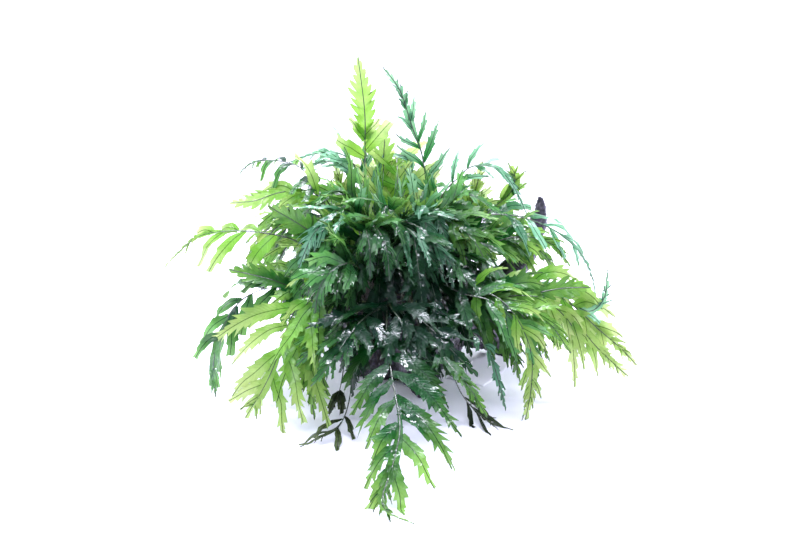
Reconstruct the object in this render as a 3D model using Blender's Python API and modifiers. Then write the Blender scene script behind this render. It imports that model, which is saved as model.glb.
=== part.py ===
"""African water fern on driftwood: a bushy fern whose creeping stems run over a root of bog wood.

The places and sizes below are in millimetres and the finished model is in metres. The origin is on the
ground under the wood, +Z is up and -Y is the front.
"""

import math
import random
from collections import namedtuple

import bmesh
import bpy
import numpy
from mathutils import Vector, noise
from mathutils.bvhtree import BVHTree

MM = 0.001
GAP = 0.3

# Driftwood. Each limb is a route of (x, y, z, radius) and leaves the crown in the direction given.
CROWN = [
    (-62, 2, 36, 25), (-45, 0, 38, 38), (-10, -4, 38, 46), (16, -4, 38, 45), (38, 2, 39, 36), (52, 3, 40, 24),
]
LIMBS = {
    "driftwood_root_left": (
        (-0.9, -0.2, 0.3),
        [(-30, 0, 38, 19), (-60, -8, 46, 15), (-84, -18, 62, 12), (-98, -26, 84, 9), (-103, -30, 98, 5)],
    ),
    "driftwood_root_front": (
        (0.1, -0.95, -0.3),
        [(10, -15, 32, 20), (14, -48, 22, 18), (19, -62, 9, 14), (21, -73, 4, 8)],
    ),
    "driftwood_root_back": (
        (-0.15, 0.95, -0.25),
        [(-8, 12, 34, 20), (-15, 48, 28, 17), (-22, 78, 14, 13), (-27, 100, 6, 8)],
    ),
    "driftwood_root_right": (
        (0.9, 0.3, -0.25),
        [(20, 0, 34, 18), (55, 12, 32, 15), (80, 24, 20, 12), (98, 32, 10, 10), (112, 37, 6, 6)],
    ),
    "driftwood_spur_right": (
        (0.6, 0.4, 0.6),
        [(5, 4, 40, 18), (42, 18, 62, 14), (80, 38, 66, 12), (108, 52, 80, 11), (124, 58, 110, 9),
         (129, 60, 132, 8), (128, 60, 146, 4)],
    ),
}
FORK_INSET = 9
RING_STEP = 16
LUMP = 3.6
LUMP_SIZE = 24

# Rhizomes: creeping stems on the crown, each at its own turn from straight up, in degrees towards the back.
RHIZOMES = {"rhizome_front": -42, "rhizome_top": 2, "rhizome_back": 46}
RHIZOME_RADIUS = 4.2
RHIZOME_ENDS = (-52, 35)
RHIZOME_HEIGHT = RHIZOME_RADIUS + LUMP + 1
SLOT_STEP = 5.2

# Fronds: blade thickness, stalk width, the length at its foot that leaves the rhizome squarely, the room that
# a blade keeps above, below and beside it, and how low it may lie.
BLADE = 0.9
STALK = 2.4
FOOT = 9
ROOM = 0.8
ROOM_BESIDE = 0.9
LOWEST = 1.2
TONES = {
    "lime": (0.32, 0.55, 0.03),
    "fresh": (0.12, 0.36, 0.03),
    "deep": (0.02, 0.13, 0.03),
    "blue": (0.06, 0.25, 0.14),
    "old": (0.03, 0.035, 0.012),
}
Frond = namedtuple("Frond", "name tone route face bare pairs pinna width tip tip_width lean")


def frond(name, tone, route, face, bare, pairs, pinna, width, tip, tip_width, lean):
    """One leaf: the route of its rachis, the way its blade faces, the bare share of it, its pinnae and tip."""
    return Frond(name, tone, route, face, bare, pairs, pinna, width, tip, tip_width, lean)


LEFT = (-0.5, -0.5, 0.7)
RIGHT = (0.5, -0.5, 0.7)
FRONDS = [
    frond("old_frond_left", "old", [
        (-24, -38, 80), (-36, -76, 50), (-40, -112, 16), (-46, -150, 9), (-58, -166, 7), (-74, -180, 4),
    ], face=(0, -0.3, 1), bare=0.66, pairs=1, pinna=26, width=7, tip=24, tip_width=6, lean=30),
    frond("old_frond_left_small", "old", [
        (-34, -36, 80), (-44, -70, 52), (-48, -98, 20), (-56, -126, 6),
    ], face=(0, -0.3, 1), bare=0.74, pairs=1, pinna=17, width=6, tip=22, tip_width=5, lean=26),
    frond("old_frond_right", "old", [
        (22, -38, 80), (38, -94, 50), (46, -106, 24), (56, -116, 11), (66, -130, 6), (76, -146, 3),
    ], face=(0, -0.3, 1), bare=0.66, pairs=1, pinna=24, width=7, tip=24, tip_width=7, lean=24),
    frond("frond_upright_lime", "lime", [
        (-15, 10, 90), (-30, 15, 140), (-30, 10, 195), (-30, 5, 230), (-35, 0, 275),
    ], face=(0.1, -1, 0.1), bare=0.52, pairs=3, pinna=43, width=13, tip=62, tip_width=20, lean=48),
    frond("frond_upright_blue", "blue", [
        (30, 25, 90), (25, 30, 140), (20, 30, 185), (10, 25, 215), (0, 20, 245), (-15, 15, 266),
    ], face=(0.2, -1, 0.2), bare=0.36, pairs=4, pinna=36, width=9, tip=44, tip_width=10, lean=36),
    frond("frond_front_centre", "fresh", [
        (-10, -35, 90), (-10, -85, 88), (-10, -130, 70), (-5, -175, 52), (0, -215, 36), (-5, -245, 20),
        (-12, -270, 7), (-6, -284, 4), (10, -294, 2),
    ], face=(0, -0.5, 0.85), bare=0.3, pairs=5, pinna=70, width=15, tip=48, tip_width=11, lean=42),
    frond("frond_front_left_lime", "lime", [
        (-40, -30, 85), (-70, -85, 98), (-85, -105, 82), (-92, -115, 62), (-104, -124, 34),
        (-121, -130, 6),
    ], face=(-0.3, -0.8, 0.5), bare=0.38, pairs=4, pinna=62, width=13, tip=24, tip_width=12, lean=38),
    frond("frond_front_left_strap", "fresh", [
        (-30, -35, 85), (-60, -95, 98), (-70, -118, 75), (-70, -130, 40), (-66, -138, 8),
    ], face=(0, -0.9, 0.4), bare=0.4, pairs=3, pinna=65, width=14, tip=44, tip_width=13, lean=24),
    frond("frond_left_pale", "lime", [
        (-45, -20, 90), (-80, -35, 122), (-120, -45, 136), (-160, -50, 135), (-181, -50, 121),
        (-197, -50, 104),
    ], face=LEFT, bare=0.42, pairs=4, pinna=43, width=10, tip=44, tip_width=6, lean=44),
    frond("frond_left_lime", "lime", [
        (-45, -5, 95), (-60, -20, 148), (-75, -25, 166), (-100, -30, 166), (-120, -35, 160),
        (-141, -40, 159),
    ], face=(0, -0.8, 0.6), bare=0.45, pairs=3, pinna=36, width=12, tip=40, tip_width=17, lean=40),
    frond("frond_left_dark_arch", "deep", [
        (-40, 0, 95), (-60, -5, 150), (-80, -10, 180), (-96, -10, 188), (-117, -15, 190),
        (-131, -20, 184), (-137, -20, 172),
    ], face=(0, -0.3, 1), bare=0.45, pairs=4, pinna=24, width=8, tip=26, tip_width=5, lean=62),
    frond("frond_left_broad", "fresh", [
        (-40, -25, 90), (-55, -45, 118), (-75, -56, 140), (-106, -62, 161),
    ], face=(-0.2, -0.9, 0.4), bare=0.3, pairs=2, pinna=36, width=14, tip=56, tip_width=24, lean=34),
    frond("frond_left_middle", "fresh", [
        (-45, -30, 85), (-80, -66, 92), (-105, -76, 104), (-137, -80, 113),
    ], face=(-0.2, -0.7, 0.7), bare=0.3, pairs=3, pinna=43, width=14, tip=44, tip_width=18, lean=40),
    frond("frond_left_hanging", "deep", [
        (-52, -25, 80), (-82, -60, 95), (-112, -75, 95), (-133, -80, 82), (-147, -85, 55),
        (-152, -85, 30), (-151, -85, 6),
    ], face=(-0.6, -0.7, 0.3), bare=0.36, pairs=4, pinna=43, width=8, tip=26, tip_width=9, lean=34),
    frond("frond_right_arch_high", "blue", [
        (20, 20, 95), (35, 20, 150), (50, 15, 170), (62, 10, 181), (82, 5, 181), (97, 0, 166),
        (110, -5, 140),
    ], face=(0.2, -0.5, 0.85), bare=0.38, pairs=4, pinna=34, width=9, tip=42, tip_width=9, lean=48),
    frond("frond_right_arch_wide", "blue", [
        (40, 0, 95), (62, -2, 136), (92, -6, 142), (120, -15, 136), (145, -20, 121), (161, -25, 99),
        (169, -30, 68),
    ], face=RIGHT, bare=0.36, pairs=4, pinna=43, width=10, tip=50, tip_width=7, lean=40),
    frond("frond_right_long", "deep", [
        (8, -30, 90), (30, -78, 102), (50, -94, 97), (70, -106, 95), (86, -116, 84), (104, -124, 62),
        (102, -129, 28), (95, -130, 4),
    ], face=(0.2, -0.7, 0.7), bare=0.3, pairs=4, pinna=53, width=13, tip=62, tip_width=9, lean=46),
    frond("frond_right_low", "lime", [
        (42, -20, 90), (88, -40, 97), (130, -55, 86), (147, -61, 62), (164, -68, 42), (190, -72, 18),
    ], face=(0.4, -0.8, 0.5), bare=0.44, pairs=3, pinna=60, width=15, tip=36, tip_width=14, lean=40),
    frond("frond_right_hook", "blue", [
        (42, -5, 90), (98, -34, 87), (143, -45, 75), (160, -50, 70), (171, -50, 83), (172, -50, 106),
    ], face=(0.1, -0.7, 0.7), bare=0.5, pairs=3, pinna=34, width=10, tip=36, tip_width=8, lean=44),
    frond("frond_right_middle", "fresh", [
        (30, -32, 90), (64, -68, 88), (95, -80, 91), (128, -86, 99), (151, -90, 101),
    ], face=(0.1, -0.8, 0.6), bare=0.32, pairs=3, pinna=43, width=14, tip=42, tip_width=17, lean=42),
    frond("frond_right_under", "fresh", [
        (25, -38, 85), (54, -78, 82), (84, -94, 82), (114, -102, 78), (136, -102, 50),
    ], face=(0.1, -0.8, 0.6), bare=0.34, pairs=3, pinna=46, width=14, tip=34, tip_width=13, lean=44),
    frond("frond_top_left_blue", "blue", [
        (-25, 35, 100), (-35, 48, 160), (-50, 50, 184), (-76, 50, 186), (-104, 50, 176),
    ], face=(0, -0.5, 0.85), bare=0.46, pairs=4, pinna=38, width=10, tip=32, tip_width=9, lean=46),
    frond("frond_top_middle_lime", "lime", [
        (-8, 35, 100), (-14, 52, 140), (-15, 55, 175), (-13, 55, 207),
    ], face=(0, -1, 0.2), bare=0.45, pairs=2, pinna=38, width=14, tip=42, tip_width=18, lean=34),
    frond("frond_back_lime_left", "lime", [
        (-35, 40, 95), (-50, 62, 135), (-60, 65, 178),
    ], face=(-0.2, -1, 0.2), bare=0.42, pairs=3, pinna=41, width=13, tip=34, tip_width=14, lean=34),
    frond("frond_top_right_small", "blue", [
        (12, 38, 95), (15, 58, 140), (10, 60, 170), (4, 60, 182), (-12, 60, 181),
    ], face=(0, -0.7, 0.7), bare=0.55, pairs=2, pinna=26, width=9, tip=22, tip_width=8, lean=50),
    frond("frond_right_upright", "lime", [
        (34, 28, 90), (56, 30, 125), (66, 26, 155), (72, 20, 184),
    ], face=(0.1, -1, 0.3), bare=0.4, pairs=3, pinna=43, width=14, tip=34, tip_width=14, lean=34),
    frond("frond_right_spiky", "fresh", [
        (44, 18, 90), (80, 16, 128), (103, 11, 143), (107, 6, 160), (97, 5, 177),
    ], face=(0, -0.9, 0.5), bare=0.5, pairs=3, pinna=43, width=14, tip=24, tip_width=12, lean=44),
    frond("frond_centre_fan", "blue", [
        (-5, -25, 95), (-8, -42, 140), (12, -64, 146), (32, -80, 130), (52, -92, 104),
    ], face=(0.1, -0.7, 0.7), bare=0.36, pairs=4, pinna=46, width=10, tip=34, tip_width=9, lean=44),
    frond("frond_centre_down", "deep", [
        (-18, -30, 95), (-24, -64, 138), (-18, -86, 148), (-10, -104, 134), (-8, -112, 112),
    ], face=(-0.1, -0.8, 0.6), bare=0.42, pairs=3, pinna=41, width=13, tip=30, tip_width=12, lean=42),
    frond("frond_centre_left_gloss", "deep", [
        (-28, -32, 90), (-34, -88, 118), (-48, -104, 122), (-62, -114, 108), (-66, -118, 84),
    ], face=(-0.2, -0.8, 0.6), bare=0.4, pairs=3, pinna=43, width=14, tip=28, tip_width=12, lean=44),
    frond("frond_front_right_dark", "deep", [
        (4, -35, 90), (2, -102, 92), (20, -132, 84), (38, -150, 70), (58, -160, 52),
    ], face=(0.1, -0.7, 0.7), bare=0.42, pairs=4, pinna=48, width=14, tip=28, tip_width=12, lean=46),
    frond("frond_front_right_low", "fresh", [
        (12, -38, 85), (14, -110, 66), (20, -160, 54), (36, -190, 44), (54, -205, 30),
    ], face=(0.2, -0.6, 0.8), bare=0.5, pairs=3, pinna=43, width=14, tip=36, tip_width=13, lean=44),
    frond("frond_front_left_dark", "deep", [
        (-18, -36, 85), (-24, -110, 78), (-38, -138, 66), (-52, -158, 50), (-66, -168, 40),
    ], face=(-0.2, -0.6, 0.8), bare=0.46, pairs=3, pinna=48, width=14, tip=30, tip_width=13, lean=44),
    frond("frond_right_drip", "blue", [
        (22, -35, 85), (54, -108, 72), (68, -124, 60), (76, -132, 38), (82, -134, 14),
    ], face=(0.2, -0.8, 0.5), bare=0.5, pairs=3, pinna=26, width=8, tip=26, tip_width=7, lean=40),
]

# The fronds that close the bush: name, tone, heading in degrees from +X, reach, crest and tip heights, pairs.
CLOSING = [
    ("frond_back_1", "deep", 75, 165, 145, 40, 4),
    ("frond_back_2", "fresh", 108, 170, 140, 30, 4),
    ("frond_back_3", "fresh", 42, 165, 135, 50, 4),
    ("frond_back_4", "deep", 140, 170, 140, 45, 4),
    ("frond_back_5", "lime", 92, 120, 180, 110, 3),
    ("frond_back_6", "fresh", 168, 150, 145, 80, 4),
    ("frond_back_7", "deep", 12, 150, 135, 75, 4),
    ("frond_front_1", "deep", 248, 125, 122, 55, 3),
    ("frond_front_2", "deep", 275, 110, 138, 80, 3),
    ("frond_front_3", "deep", 308, 132, 120, 52, 3),
    ("frond_front_4", "deep", 226, 122, 132, 72, 3),
    ("frond_front_5", "deep", 324, 122, 128, 68, 3),
    ("frond_front_6", "deep", 255, 92, 160, 112, 3),
    ("frond_front_7", "blue", 292, 78, 158, 122, 3),
    ("frond_crest_left", "deep", 205, 95, 166, 145, 3),
    ("frond_crest_right", "deep", -20, 90, 162, 145, 3),
]

# Label: a plain card that lies on the ground at the right, its far end curled up.
LABEL_SIZE = (58, 36, 0.8)
LABEL_PLACE = (72, -12, 0.5)
LABEL_HEADING = 57
LABEL_CURL = 7
LABEL_FLAT = 0.35


def clear_scene():
    for item in list(bpy.data.objects):
        bpy.data.objects.remove(item)


def paint(name, colour, roughness):
    """A Principled material of one linear colour."""
    material = bpy.data.materials.new(name)
    material.use_nodes = True
    shader = material.node_tree.nodes["Principled BSDF"]
    shader.inputs["Base Color"].default_value = (*colour, 1)
    shader.inputs["Roughness"].default_value = roughness
    shader.inputs["Metallic"].default_value = 0
    return material


def smooth(points, step):
    """Points about a step apart on a Catmull-Rom curve through the given ones, radii included."""
    rows = [list(p) for p in points]
    before_first = [2 * a - b for a, b in zip(rows[0], rows[1])]
    after_last = [2 * a - b for a, b in zip(rows[-1], rows[-2])]
    rows = [before_first, *rows, after_last]
    made = []
    for before, start, end, after in zip(rows, rows[1:], rows[2:], rows[3:]):
        count = max(2, round(math.dist(start[:3], end[:3]) / step))
        for k in range(count):
            t = k / count
            pull = (
                -t + 2 * t ** 2 - t ** 3,
                2 - 5 * t ** 2 + 3 * t ** 3,
                t + 4 * t ** 2 - 3 * t ** 3,
                t ** 3 - t ** 2,
            )
            four = zip(before, start, end, after)
            made.append([sum(w * v for w, v in zip(pull, values)) / 2 for values in four])
    made.append(rows[-2])
    return made


def mesh_object(name, mesh, material, collection):
    item = bpy.data.objects.new(name, mesh)
    item.data.materials.append(material)
    collection.objects.link(item)
    return item


def tube(name, points, roundness):
    """A round closed tube through points of (x, y, z, radius), as a bmesh in millimetres."""
    curve = bpy.data.curves.new(name, "CURVE")
    curve.dimensions = "3D"
    curve.bevel_depth = 1
    curve.bevel_resolution = roundness
    curve.use_fill_caps = True
    spline = curve.splines.new("POLY")
    spline.points.add(len(points) - 1)
    for point, (x, y, z, radius) in zip(spline.points, points):
        point.co = (x, y, z, 1)
        point.radius = radius
    item = bpy.data.objects.new(name, curve)
    bpy.context.scene.collection.objects.link(item)
    view = bpy.context.evaluated_depsgraph_get()
    mesh = bpy.data.meshes.new_from_object(item.evaluated_get(view))
    bpy.data.objects.remove(item)
    work = bmesh.new()
    work.from_mesh(mesh)
    bmesh.ops.remove_doubles(work, verts=work.verts, dist=0.01)
    bmesh.ops.recalc_face_normals(work, faces=work.faces)
    return work


def to_object(name, work, material, collection):
    """Turns a bmesh in millimetres into an object in metres, smooth with sharp cuts."""
    bmesh.ops.recalc_face_normals(work, faces=work.faces)
    bmesh.ops.scale(work, vec=Vector((MM, MM, MM)), verts=work.verts)
    mesh = bpy.data.meshes.new(name)
    work.to_mesh(mesh)
    work.free()
    item = mesh_object(name, mesh, material, collection)
    item.data.shade_smooth()
    item.data.set_sharp_from_angle(angle=math.radians(45))


def gnarled(name, route):
    """A limb of driftwood: a tapered tube with lumps and hollows."""
    work = tube(name, smooth(route, RING_STEP), roundness=2)
    moves = {v: v.normal * LUMP * noise.noise(v.co / LUMP_SIZE) for v in work.verts}
    for vertex, move in moves.items():
        vertex.co += move
    return work


def cut(work, point, direction):
    """Cuts away what lies ahead of the plane and closes the cut flat."""
    geometry = work.verts[:] + work.edges[:] + work.faces[:]
    bmesh.ops.bisect_plane(work, geom=geometry, dist=0.02, plane_co=point, plane_no=direction, clear_outer=True)
    rim = [e for e in work.edges if e.is_boundary]
    bmesh.ops.edgeloop_fill(work, edges=rim)


def stand(work):
    """Cuts the wood off flat at the ground, where it reaches that low."""
    if min(v.co.z for v in work.verts) < 0:
        cut(work, Vector((0, 0, 0)), Vector((0, 0, -1)))


def make_driftwood(collection):
    """The crown and the limbs that fork from it, parted at each fork by one flat kerf."""
    wood = paint("bog_wood", (0.045, 0.022, 0.02), 0.45)
    crown = gnarled("driftwood_crown", CROWN)
    for name, (heading, route) in LIMBS.items():
        away = Vector(heading).normalized()
        reach = max(v.co.dot(away) for v in crown.verts) - FORK_INSET
        cut(crown, away * (reach - GAP / 2), away)
        limb = gnarled(name, route)
        cut(limb, away * (reach + GAP / 2), -away)
        stand(limb)
        to_object(name, limb, wood, collection)
    stand(crown)
    to_object("driftwood_crown", crown, wood, collection)


def crown_middle(x):
    """The crown's centre and radius at x."""
    nearest = min(smooth(CROWN, 2), key=lambda p: abs(p[0] - x))
    return Vector(nearest[:3]), nearest[3]


def rhizome_line(turn):
    """The creeping stem's centre line above the crown, winding a little as it runs along it."""
    first, last = RHIZOME_ENDS
    count = 12
    places = []
    for k in range(count + 1):
        x = first + (last - first) * k / count
        centre, radius = crown_middle(x)
        angle = math.radians(turn + 7 * math.sin(k * 0.9 + turn))
        way = Vector((0, math.sin(angle), math.cos(angle)))
        places.append(Vector((x, centre.y, centre.z)) + way * (radius + RHIZOME_HEIGHT))
    return places


def make_rhizomes(collection):
    """Each stem as a round tube that thins at both ends."""
    stem = paint("rhizome_skin", (0.03, 0.05, 0.02), 0.5)
    for name, turn in RHIZOMES.items():
        places = rhizome_line(turn)
        radii = [RHIZOME_RADIUS] * len(places)
        radii[0] *= 0.6
        radii[-1] *= 0.5
        work = tube(name, [(*p, radius) for p, radius in zip(places, radii)], roundness=1)
        to_object(name, work, stem, collection)


def vary(key, spread):
    """A number within the spread that belongs to the key, the same in every run."""
    return random.Random(key).uniform(-spread, spread)


def closing_frond(name, tone, heading, reach, crest, tip_height, pairs):
    """A frond that closes the bush, from its heading, its reach and its heights."""
    angle = math.radians(heading)
    out = Vector((math.cos(angle), math.sin(angle), 0))
    route = [Vector((out.x * 38 - 4, out.y * 30, 90))]
    falling = (crest * 1.6 + tip_height) / 2.6
    for share, height in ((0.35, 0.85 * crest), (0.6, crest), (0.82, falling), (1, tip_height)):
        route.append(Vector((out.x * reach * share, out.y * reach * share, height)))
    sway = Vector((-out.y, out.x, 0)) * vary(name, 10)
    route = [tuple(p + sway * (k / 4)) for k, p in enumerate(route)]
    face = (out.x * 0.6, out.y * 0.6, 0.8)
    return frond(name, tone, route, face, 0.34, pairs, pinna=50, width=14, tip=38, tip_width=15, lean=46)


class Path:
    """A line that can be asked for a place and a direction at any distance along it."""

    def __init__(self, points):
        self.places = [Vector(p) for p in smooth(points, 4)]
        self.marks = [0]
        for a, b in zip(self.places, self.places[1:]):
            self.marks.append(self.marks[-1] + (b - a).length)
        self.length = self.marks[-1]

    def at(self, distance):
        distance = min(max(distance, 0), self.length)
        k = max(i for i, mark in enumerate(self.marks[:-1]) if mark <= distance)
        span = self.marks[k + 1] - self.marks[k]
        return self.places[k].lerp(self.places[k + 1], (distance - self.marks[k]) / span)

    def along(self, distance):
        return (self.at(distance + 3) - self.at(distance - 3)).normalized()

    def frame(self, distance, face):
        """The place, and the directions along, across and up from the blade."""
        ahead = self.along(distance)
        across = ahead.cross(face).normalized()
        return self.at(distance), ahead, across, across.cross(ahead)


def slots():
    """Where fronds can grow from: places along the rhizomes, with the stem's direction there."""
    found = []
    for turn in RHIZOMES.values():
        line = Path(rhizome_line(turn))
        for k in range(1, int(line.length / SLOT_STEP)):
            found.append((line.at(k * SLOT_STEP), line.along(k * SLOT_STEP)))
    return found


def sheet(rows):
    """Points and faces of a strip through rows of two points, which may end in a single point."""
    points, faces = list(rows[0]), []
    for row in rows[1:]:
        first = len(points)
        points += row
        faces.append((first - 2, first - 1, *range(first, first + len(row))[::-1]))
    return points, faces


def slab(near, far):
    """A closed box around one span of a strip, larger than it by the room that a blade keeps."""
    ends = []
    for row, other in ((near, far), (far, near)):
        away = (sum(row, Vector()) / len(row) - sum(other, Vector()) / len(other)).normalized()
        beside = (near[1] - near[0]).normalized()
        ends.append([row[0] + (away - beside) * ROOM_BESIDE, row[-1] + (away + beside) * ROOM_BESIDE])
    (a, b), (c, d) = ends
    lift = (b - a).cross(c - a).normalized() * (ROOM + BLADE / 2)
    points = [p + lift for p in (a, b, d, c)] + [p - lift for p in (a, b, d, c)]
    sides = [(k, (k + 1) % 4, (k + 1) % 4 + 4, k + 4) for k in range(4)]
    return points, [(0, 1, 2, 3), (4, 5, 6, 7)] + sides


class Thicket:
    """What has grown so far, and whether a new blade has room beside it."""

    def __init__(self):
        self.points, self.faces, self.owners = [], [], []
        self.tree = None
        balls = []
        for route in [CROWN] + [route for _, route in LIMBS.values()]:
            balls += [(*p[:3], p[3] + 0.8 * LUMP + 1) for p in smooth(route, 6)]
        for turn in RHIZOMES.values():
            balls += [(*p, RHIZOME_RADIUS + GAP / 2) for p in smooth(rhizome_line(turn), 1.5)]
        self.balls = numpy.array(balls)

    def add(self, points, faces, owner):
        first = len(self.points)
        self.points += points
        self.faces += [tuple(i + first for i in face) for face in faces]
        self.owners += [owner] * len(faces)
        self.tree = BVHTree.FromPolygons(self.points, self.faces)

    def open_air(self, rows):
        """Whether a strip through the rows keeps off the wood and the rhizomes."""
        lines = [(row[0], (row[0] + row[-1]) / 2, row[-1]) for row in rows]
        samples = [
            a.lerp(b, k / 8) for near, far in zip(lines, lines[1:]) for a, b in zip(near, far) for k in range(9)
        ]
        ways = numpy.array(samples)[:, None] - self.balls[None, :, :3]
        return (numpy.linalg.norm(ways, axis=2) > self.balls[:, 3]).all()

    def has_room(self, rows, owner):
        """Whether a strip through the rows keeps off every other frond."""
        if self.tree is None:
            return True
        for near, far in zip(rows, rows[1:]):
            touched = BVHTree.FromPolygons(*slab(near, far)).overlap(self.tree)
            if any(self.owners[face] != owner for _, face in touched):
                return False
        return True


# The ways that a rachis or a pinna is tried until one has room: the plain one comes first.
SWERVES = [
    (0, 0), (4, 0), (-4, 0), (0, 4), (8, 0), (-8, 0), (4, 6), (-4, 6), (0, -5), (12, 2), (-12, 2), (8, 8),
    (-8, 8), (0, 12), (14, 12), (-14, 12),
]
PINNA_TRIES = [
    (swing, lift, share)
    for share in (1, 0.8, 0.62)
    for lift in (10, -6, 24, -20, 40, -36)
    for swing in (0, 12, -12)
]
Layout = namedtuple("Layout", "length tip_start tip_width stations roots")


def lay_out(leaf, length):
    """Where along the rachis the blade's rows are, and which of them carry a pair of pinnae."""
    bare = leaf.bare * length
    tip_start = length - leaf.tip
    spacing = (tip_start - bare) / leaf.pairs
    spans = max(1, round(bare / 44))
    stations = [0] + [FOOT + (bare - FOOT) * k / spans for k in range(spans)]
    roots = []
    for k in range(leaf.pairs):
        start = bare + k * spacing
        roots.append(len(stations))
        stations += [start, start + 0.5 * min(spacing, leaf.width * 1.5)]
    stations += [tip_start, tip_start + 0.36 * leaf.tip, tip_start + 0.7 * leaf.tip, length]
    return Layout(length, tip_start, leaf.tip_width, stations, roots)


def half_width(layout, distance):
    """Half the strip's width: a stalk that thins, then the lobed tip of the blade."""
    if distance <= layout.tip_start:
        return STALK * (1 - 0.45 * distance / layout.length) / 2
    share = (distance - layout.tip_start) / (layout.length - layout.tip_start)
    return layout.tip_width / 2 * math.sin(math.pi * share ** 0.75) ** 0.8


def above_ground(rows):
    """The rows with no point lower than a blade may lie."""
    return [[Vector((p.x, p.y, max(p.z, LOWEST))) for p in row] for row in rows]


def strip_rows(leaf, path, layout):
    """The rachis strip's rows, which end in the lobed tip."""
    rows = []
    for distance in layout.stations[:-1]:
        place, _, across, _ = path.frame(distance, leaf.face)
        half = across * half_width(layout, distance)
        rows.append([place - half, place + half])
    rows.append([path.at(layout.length)])
    return above_ground(rows)


def pinna_rows(leaf, path, layout, pair, side, swing, lift, share):
    """A pinna's rows: its root on the rachis, its widest row and its tip."""
    start, end = layout.stations[layout.roots[pair]:layout.roots[pair] + 2]
    roots = []
    for distance in (start, end):
        place, _, across, _ = path.frame(distance, leaf.face)
        roots.append(place + across * side * half_width(layout, distance))
    _, ahead, across, up = path.frame((start + end) / 2, leaf.face)
    rise = pair / max(1, leaf.pairs - 1)
    size = leaf.pinna * (0.84 + 0.3 * rise - 0.58 * rise * rise) * share
    size *= 1 + vary(f"{leaf.name} {pair} {side} size", 0.14)
    lean = leaf.lean * (1.12 - 0.3 * rise) + vary(f"{leaf.name} {pair} {side} lean", 7)
    angle = math.radians(lean + swing)
    raised = math.radians(lift)
    flat = across * side * math.cos(raised) + up * math.sin(raised)
    heading = ahead * math.cos(angle) + flat * math.sin(angle)
    onward = (heading + ahead * 0.22 - Vector((0, 0, 0.3))).normalized()
    middle = (roots[0] + roots[1]) / 2 + heading * size * 0.46
    wide = min(leaf.width, 1.6 * (end - start) * math.sin(angle))
    over = heading.cross(flat.cross(ahead)).normalized()
    if over.dot(ahead) > 0:
        over = -over
    spread = [middle + over * wide / 2, middle - over * wide / 2]
    return above_ground([roots, spread, [middle + onward * size * 0.54]])


def grow_rachis(leaf, thicket, free):
    """Finds a free slot on a rhizome and a clear way out from it to the frond's route."""
    for slot in sorted(free, key=lambda slot: (slot[0] - Vector(leaf.route[0])).length):
        place, ahead = slot
        aim = Vector(leaf.route[1]) - place
        outward = (place - crown_middle(place.x)[0]).normalized()
        launch = (aim - ahead * aim.dot(ahead)).normalized() + outward * 0.9
        launch = (launch - ahead * launch.dot(ahead)).normalized()
        start = place + launch * (RHIZOME_RADIUS + 2 * GAP)
        far = Vector(leaf.route[-1]) - place
        side = Vector((-far.y, far.x, 0)).normalized()
        for sway, rise in SWERVES:
            route = [start, start + launch * FOOT]
            for k, point in enumerate(leaf.route[1:], 1):
                weight = math.sin(math.pi * k / len(leaf.route))
                route.append(Vector(point) + side * sway * weight + Vector((0, 0, rise * weight)))
            path = Path(route)
            layout = lay_out(leaf, path.length)
            rows = strip_rows(leaf, path, layout)
            if thicket.has_room(rows, leaf.name) and thicket.open_air(rows):
                free.remove(slot)
                return path, layout, rows
    return None


def grow_pinnae(leaf, path, layout, rows, thicket):
    """The frond's open surface as points and faces. A pinna that finds no room is left out."""
    points, faces = sheet(rows)
    for pair in range(leaf.pairs):
        for side in (1, -1):
            for way in PINNA_TRIES:
                pinna = pinna_rows(leaf, path, layout, pair, side, *way)
                if thicket.has_room(pinna, leaf.name) and thicket.open_air(pinna):
                    break
            else:
                continue
            near = len(points)
            far, tip = near + 1, near + 2
            points += [p for row in pinna[1:] for p in row]
            low = 2 * layout.roots[pair] + (1 if side > 0 else 0)
            blade = [(low, near, far, low + 2), (near, tip, far)]
            faces += blade if side > 0 else [face[::-1] for face in blade]
            thicket.add([*pinna[0], *points[near:]], [(0, 2, 3, 1), (2, 4, 3)], leaf.name)
    return points, faces


def make_fronds(collection):
    """Every rachis first, then the pinnae that find room between them."""
    materials = {tone: paint(f"frond_{tone}", colour, 0.25) for tone, colour in TONES.items()}
    thicket = Thicket()
    free = slots()
    grown = []
    for leaf in FRONDS + [closing_frond(*row) for row in CLOSING]:
        found = grow_rachis(leaf, thicket, free)
        if found is None:
            raise ValueError(f"no room for {leaf.name}")
        thicket.add(*sheet(found[2]), leaf.name)
        grown.append((leaf, *found))
    for leaf, path, layout, rows in grown:
        points, faces = grow_pinnae(leaf, path, layout, rows, thicket)
        mesh = bpy.data.meshes.new(leaf.name)
        mesh.from_pydata([p * MM for p in points], [], faces)
        item = mesh_object(leaf.name, mesh, materials[leaf.tone], collection)
        solid = item.modifiers.new("thickness", "SOLIDIFY")
        solid.thickness = BLADE * MM
        solid.offset = 0


def make_label(collection):
    """The card, flat on the ground at its near end and curled up at its far end."""
    length, width, thickness = LABEL_SIZE
    steps = 5
    rows = []
    for k in range(steps + 1):
        share = k / steps
        lift = LABEL_CURL * (max(0, share - LABEL_FLAT) / (1 - LABEL_FLAT)) ** 2
        x = length * (share - 0.5)
        rows.append([Vector((x, width / 2, lift)), Vector((x, -width / 2, lift))])
    points, faces = sheet(rows)
    mesh = bpy.data.meshes.new("plant_label")
    mesh.from_pydata([p * MM for p in points], [], faces)
    item = mesh_object("plant_label", mesh, paint("white_card", (0.8, 0.82, 0.9), 0.4), collection)
    item.location = Vector(LABEL_PLACE) * MM
    item.rotation_euler = (0, 0, math.radians(LABEL_HEADING))
    solid = item.modifiers.new("thickness", "SOLIDIFY")
    solid.thickness = thickness * MM
    solid.offset = 0


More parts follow.
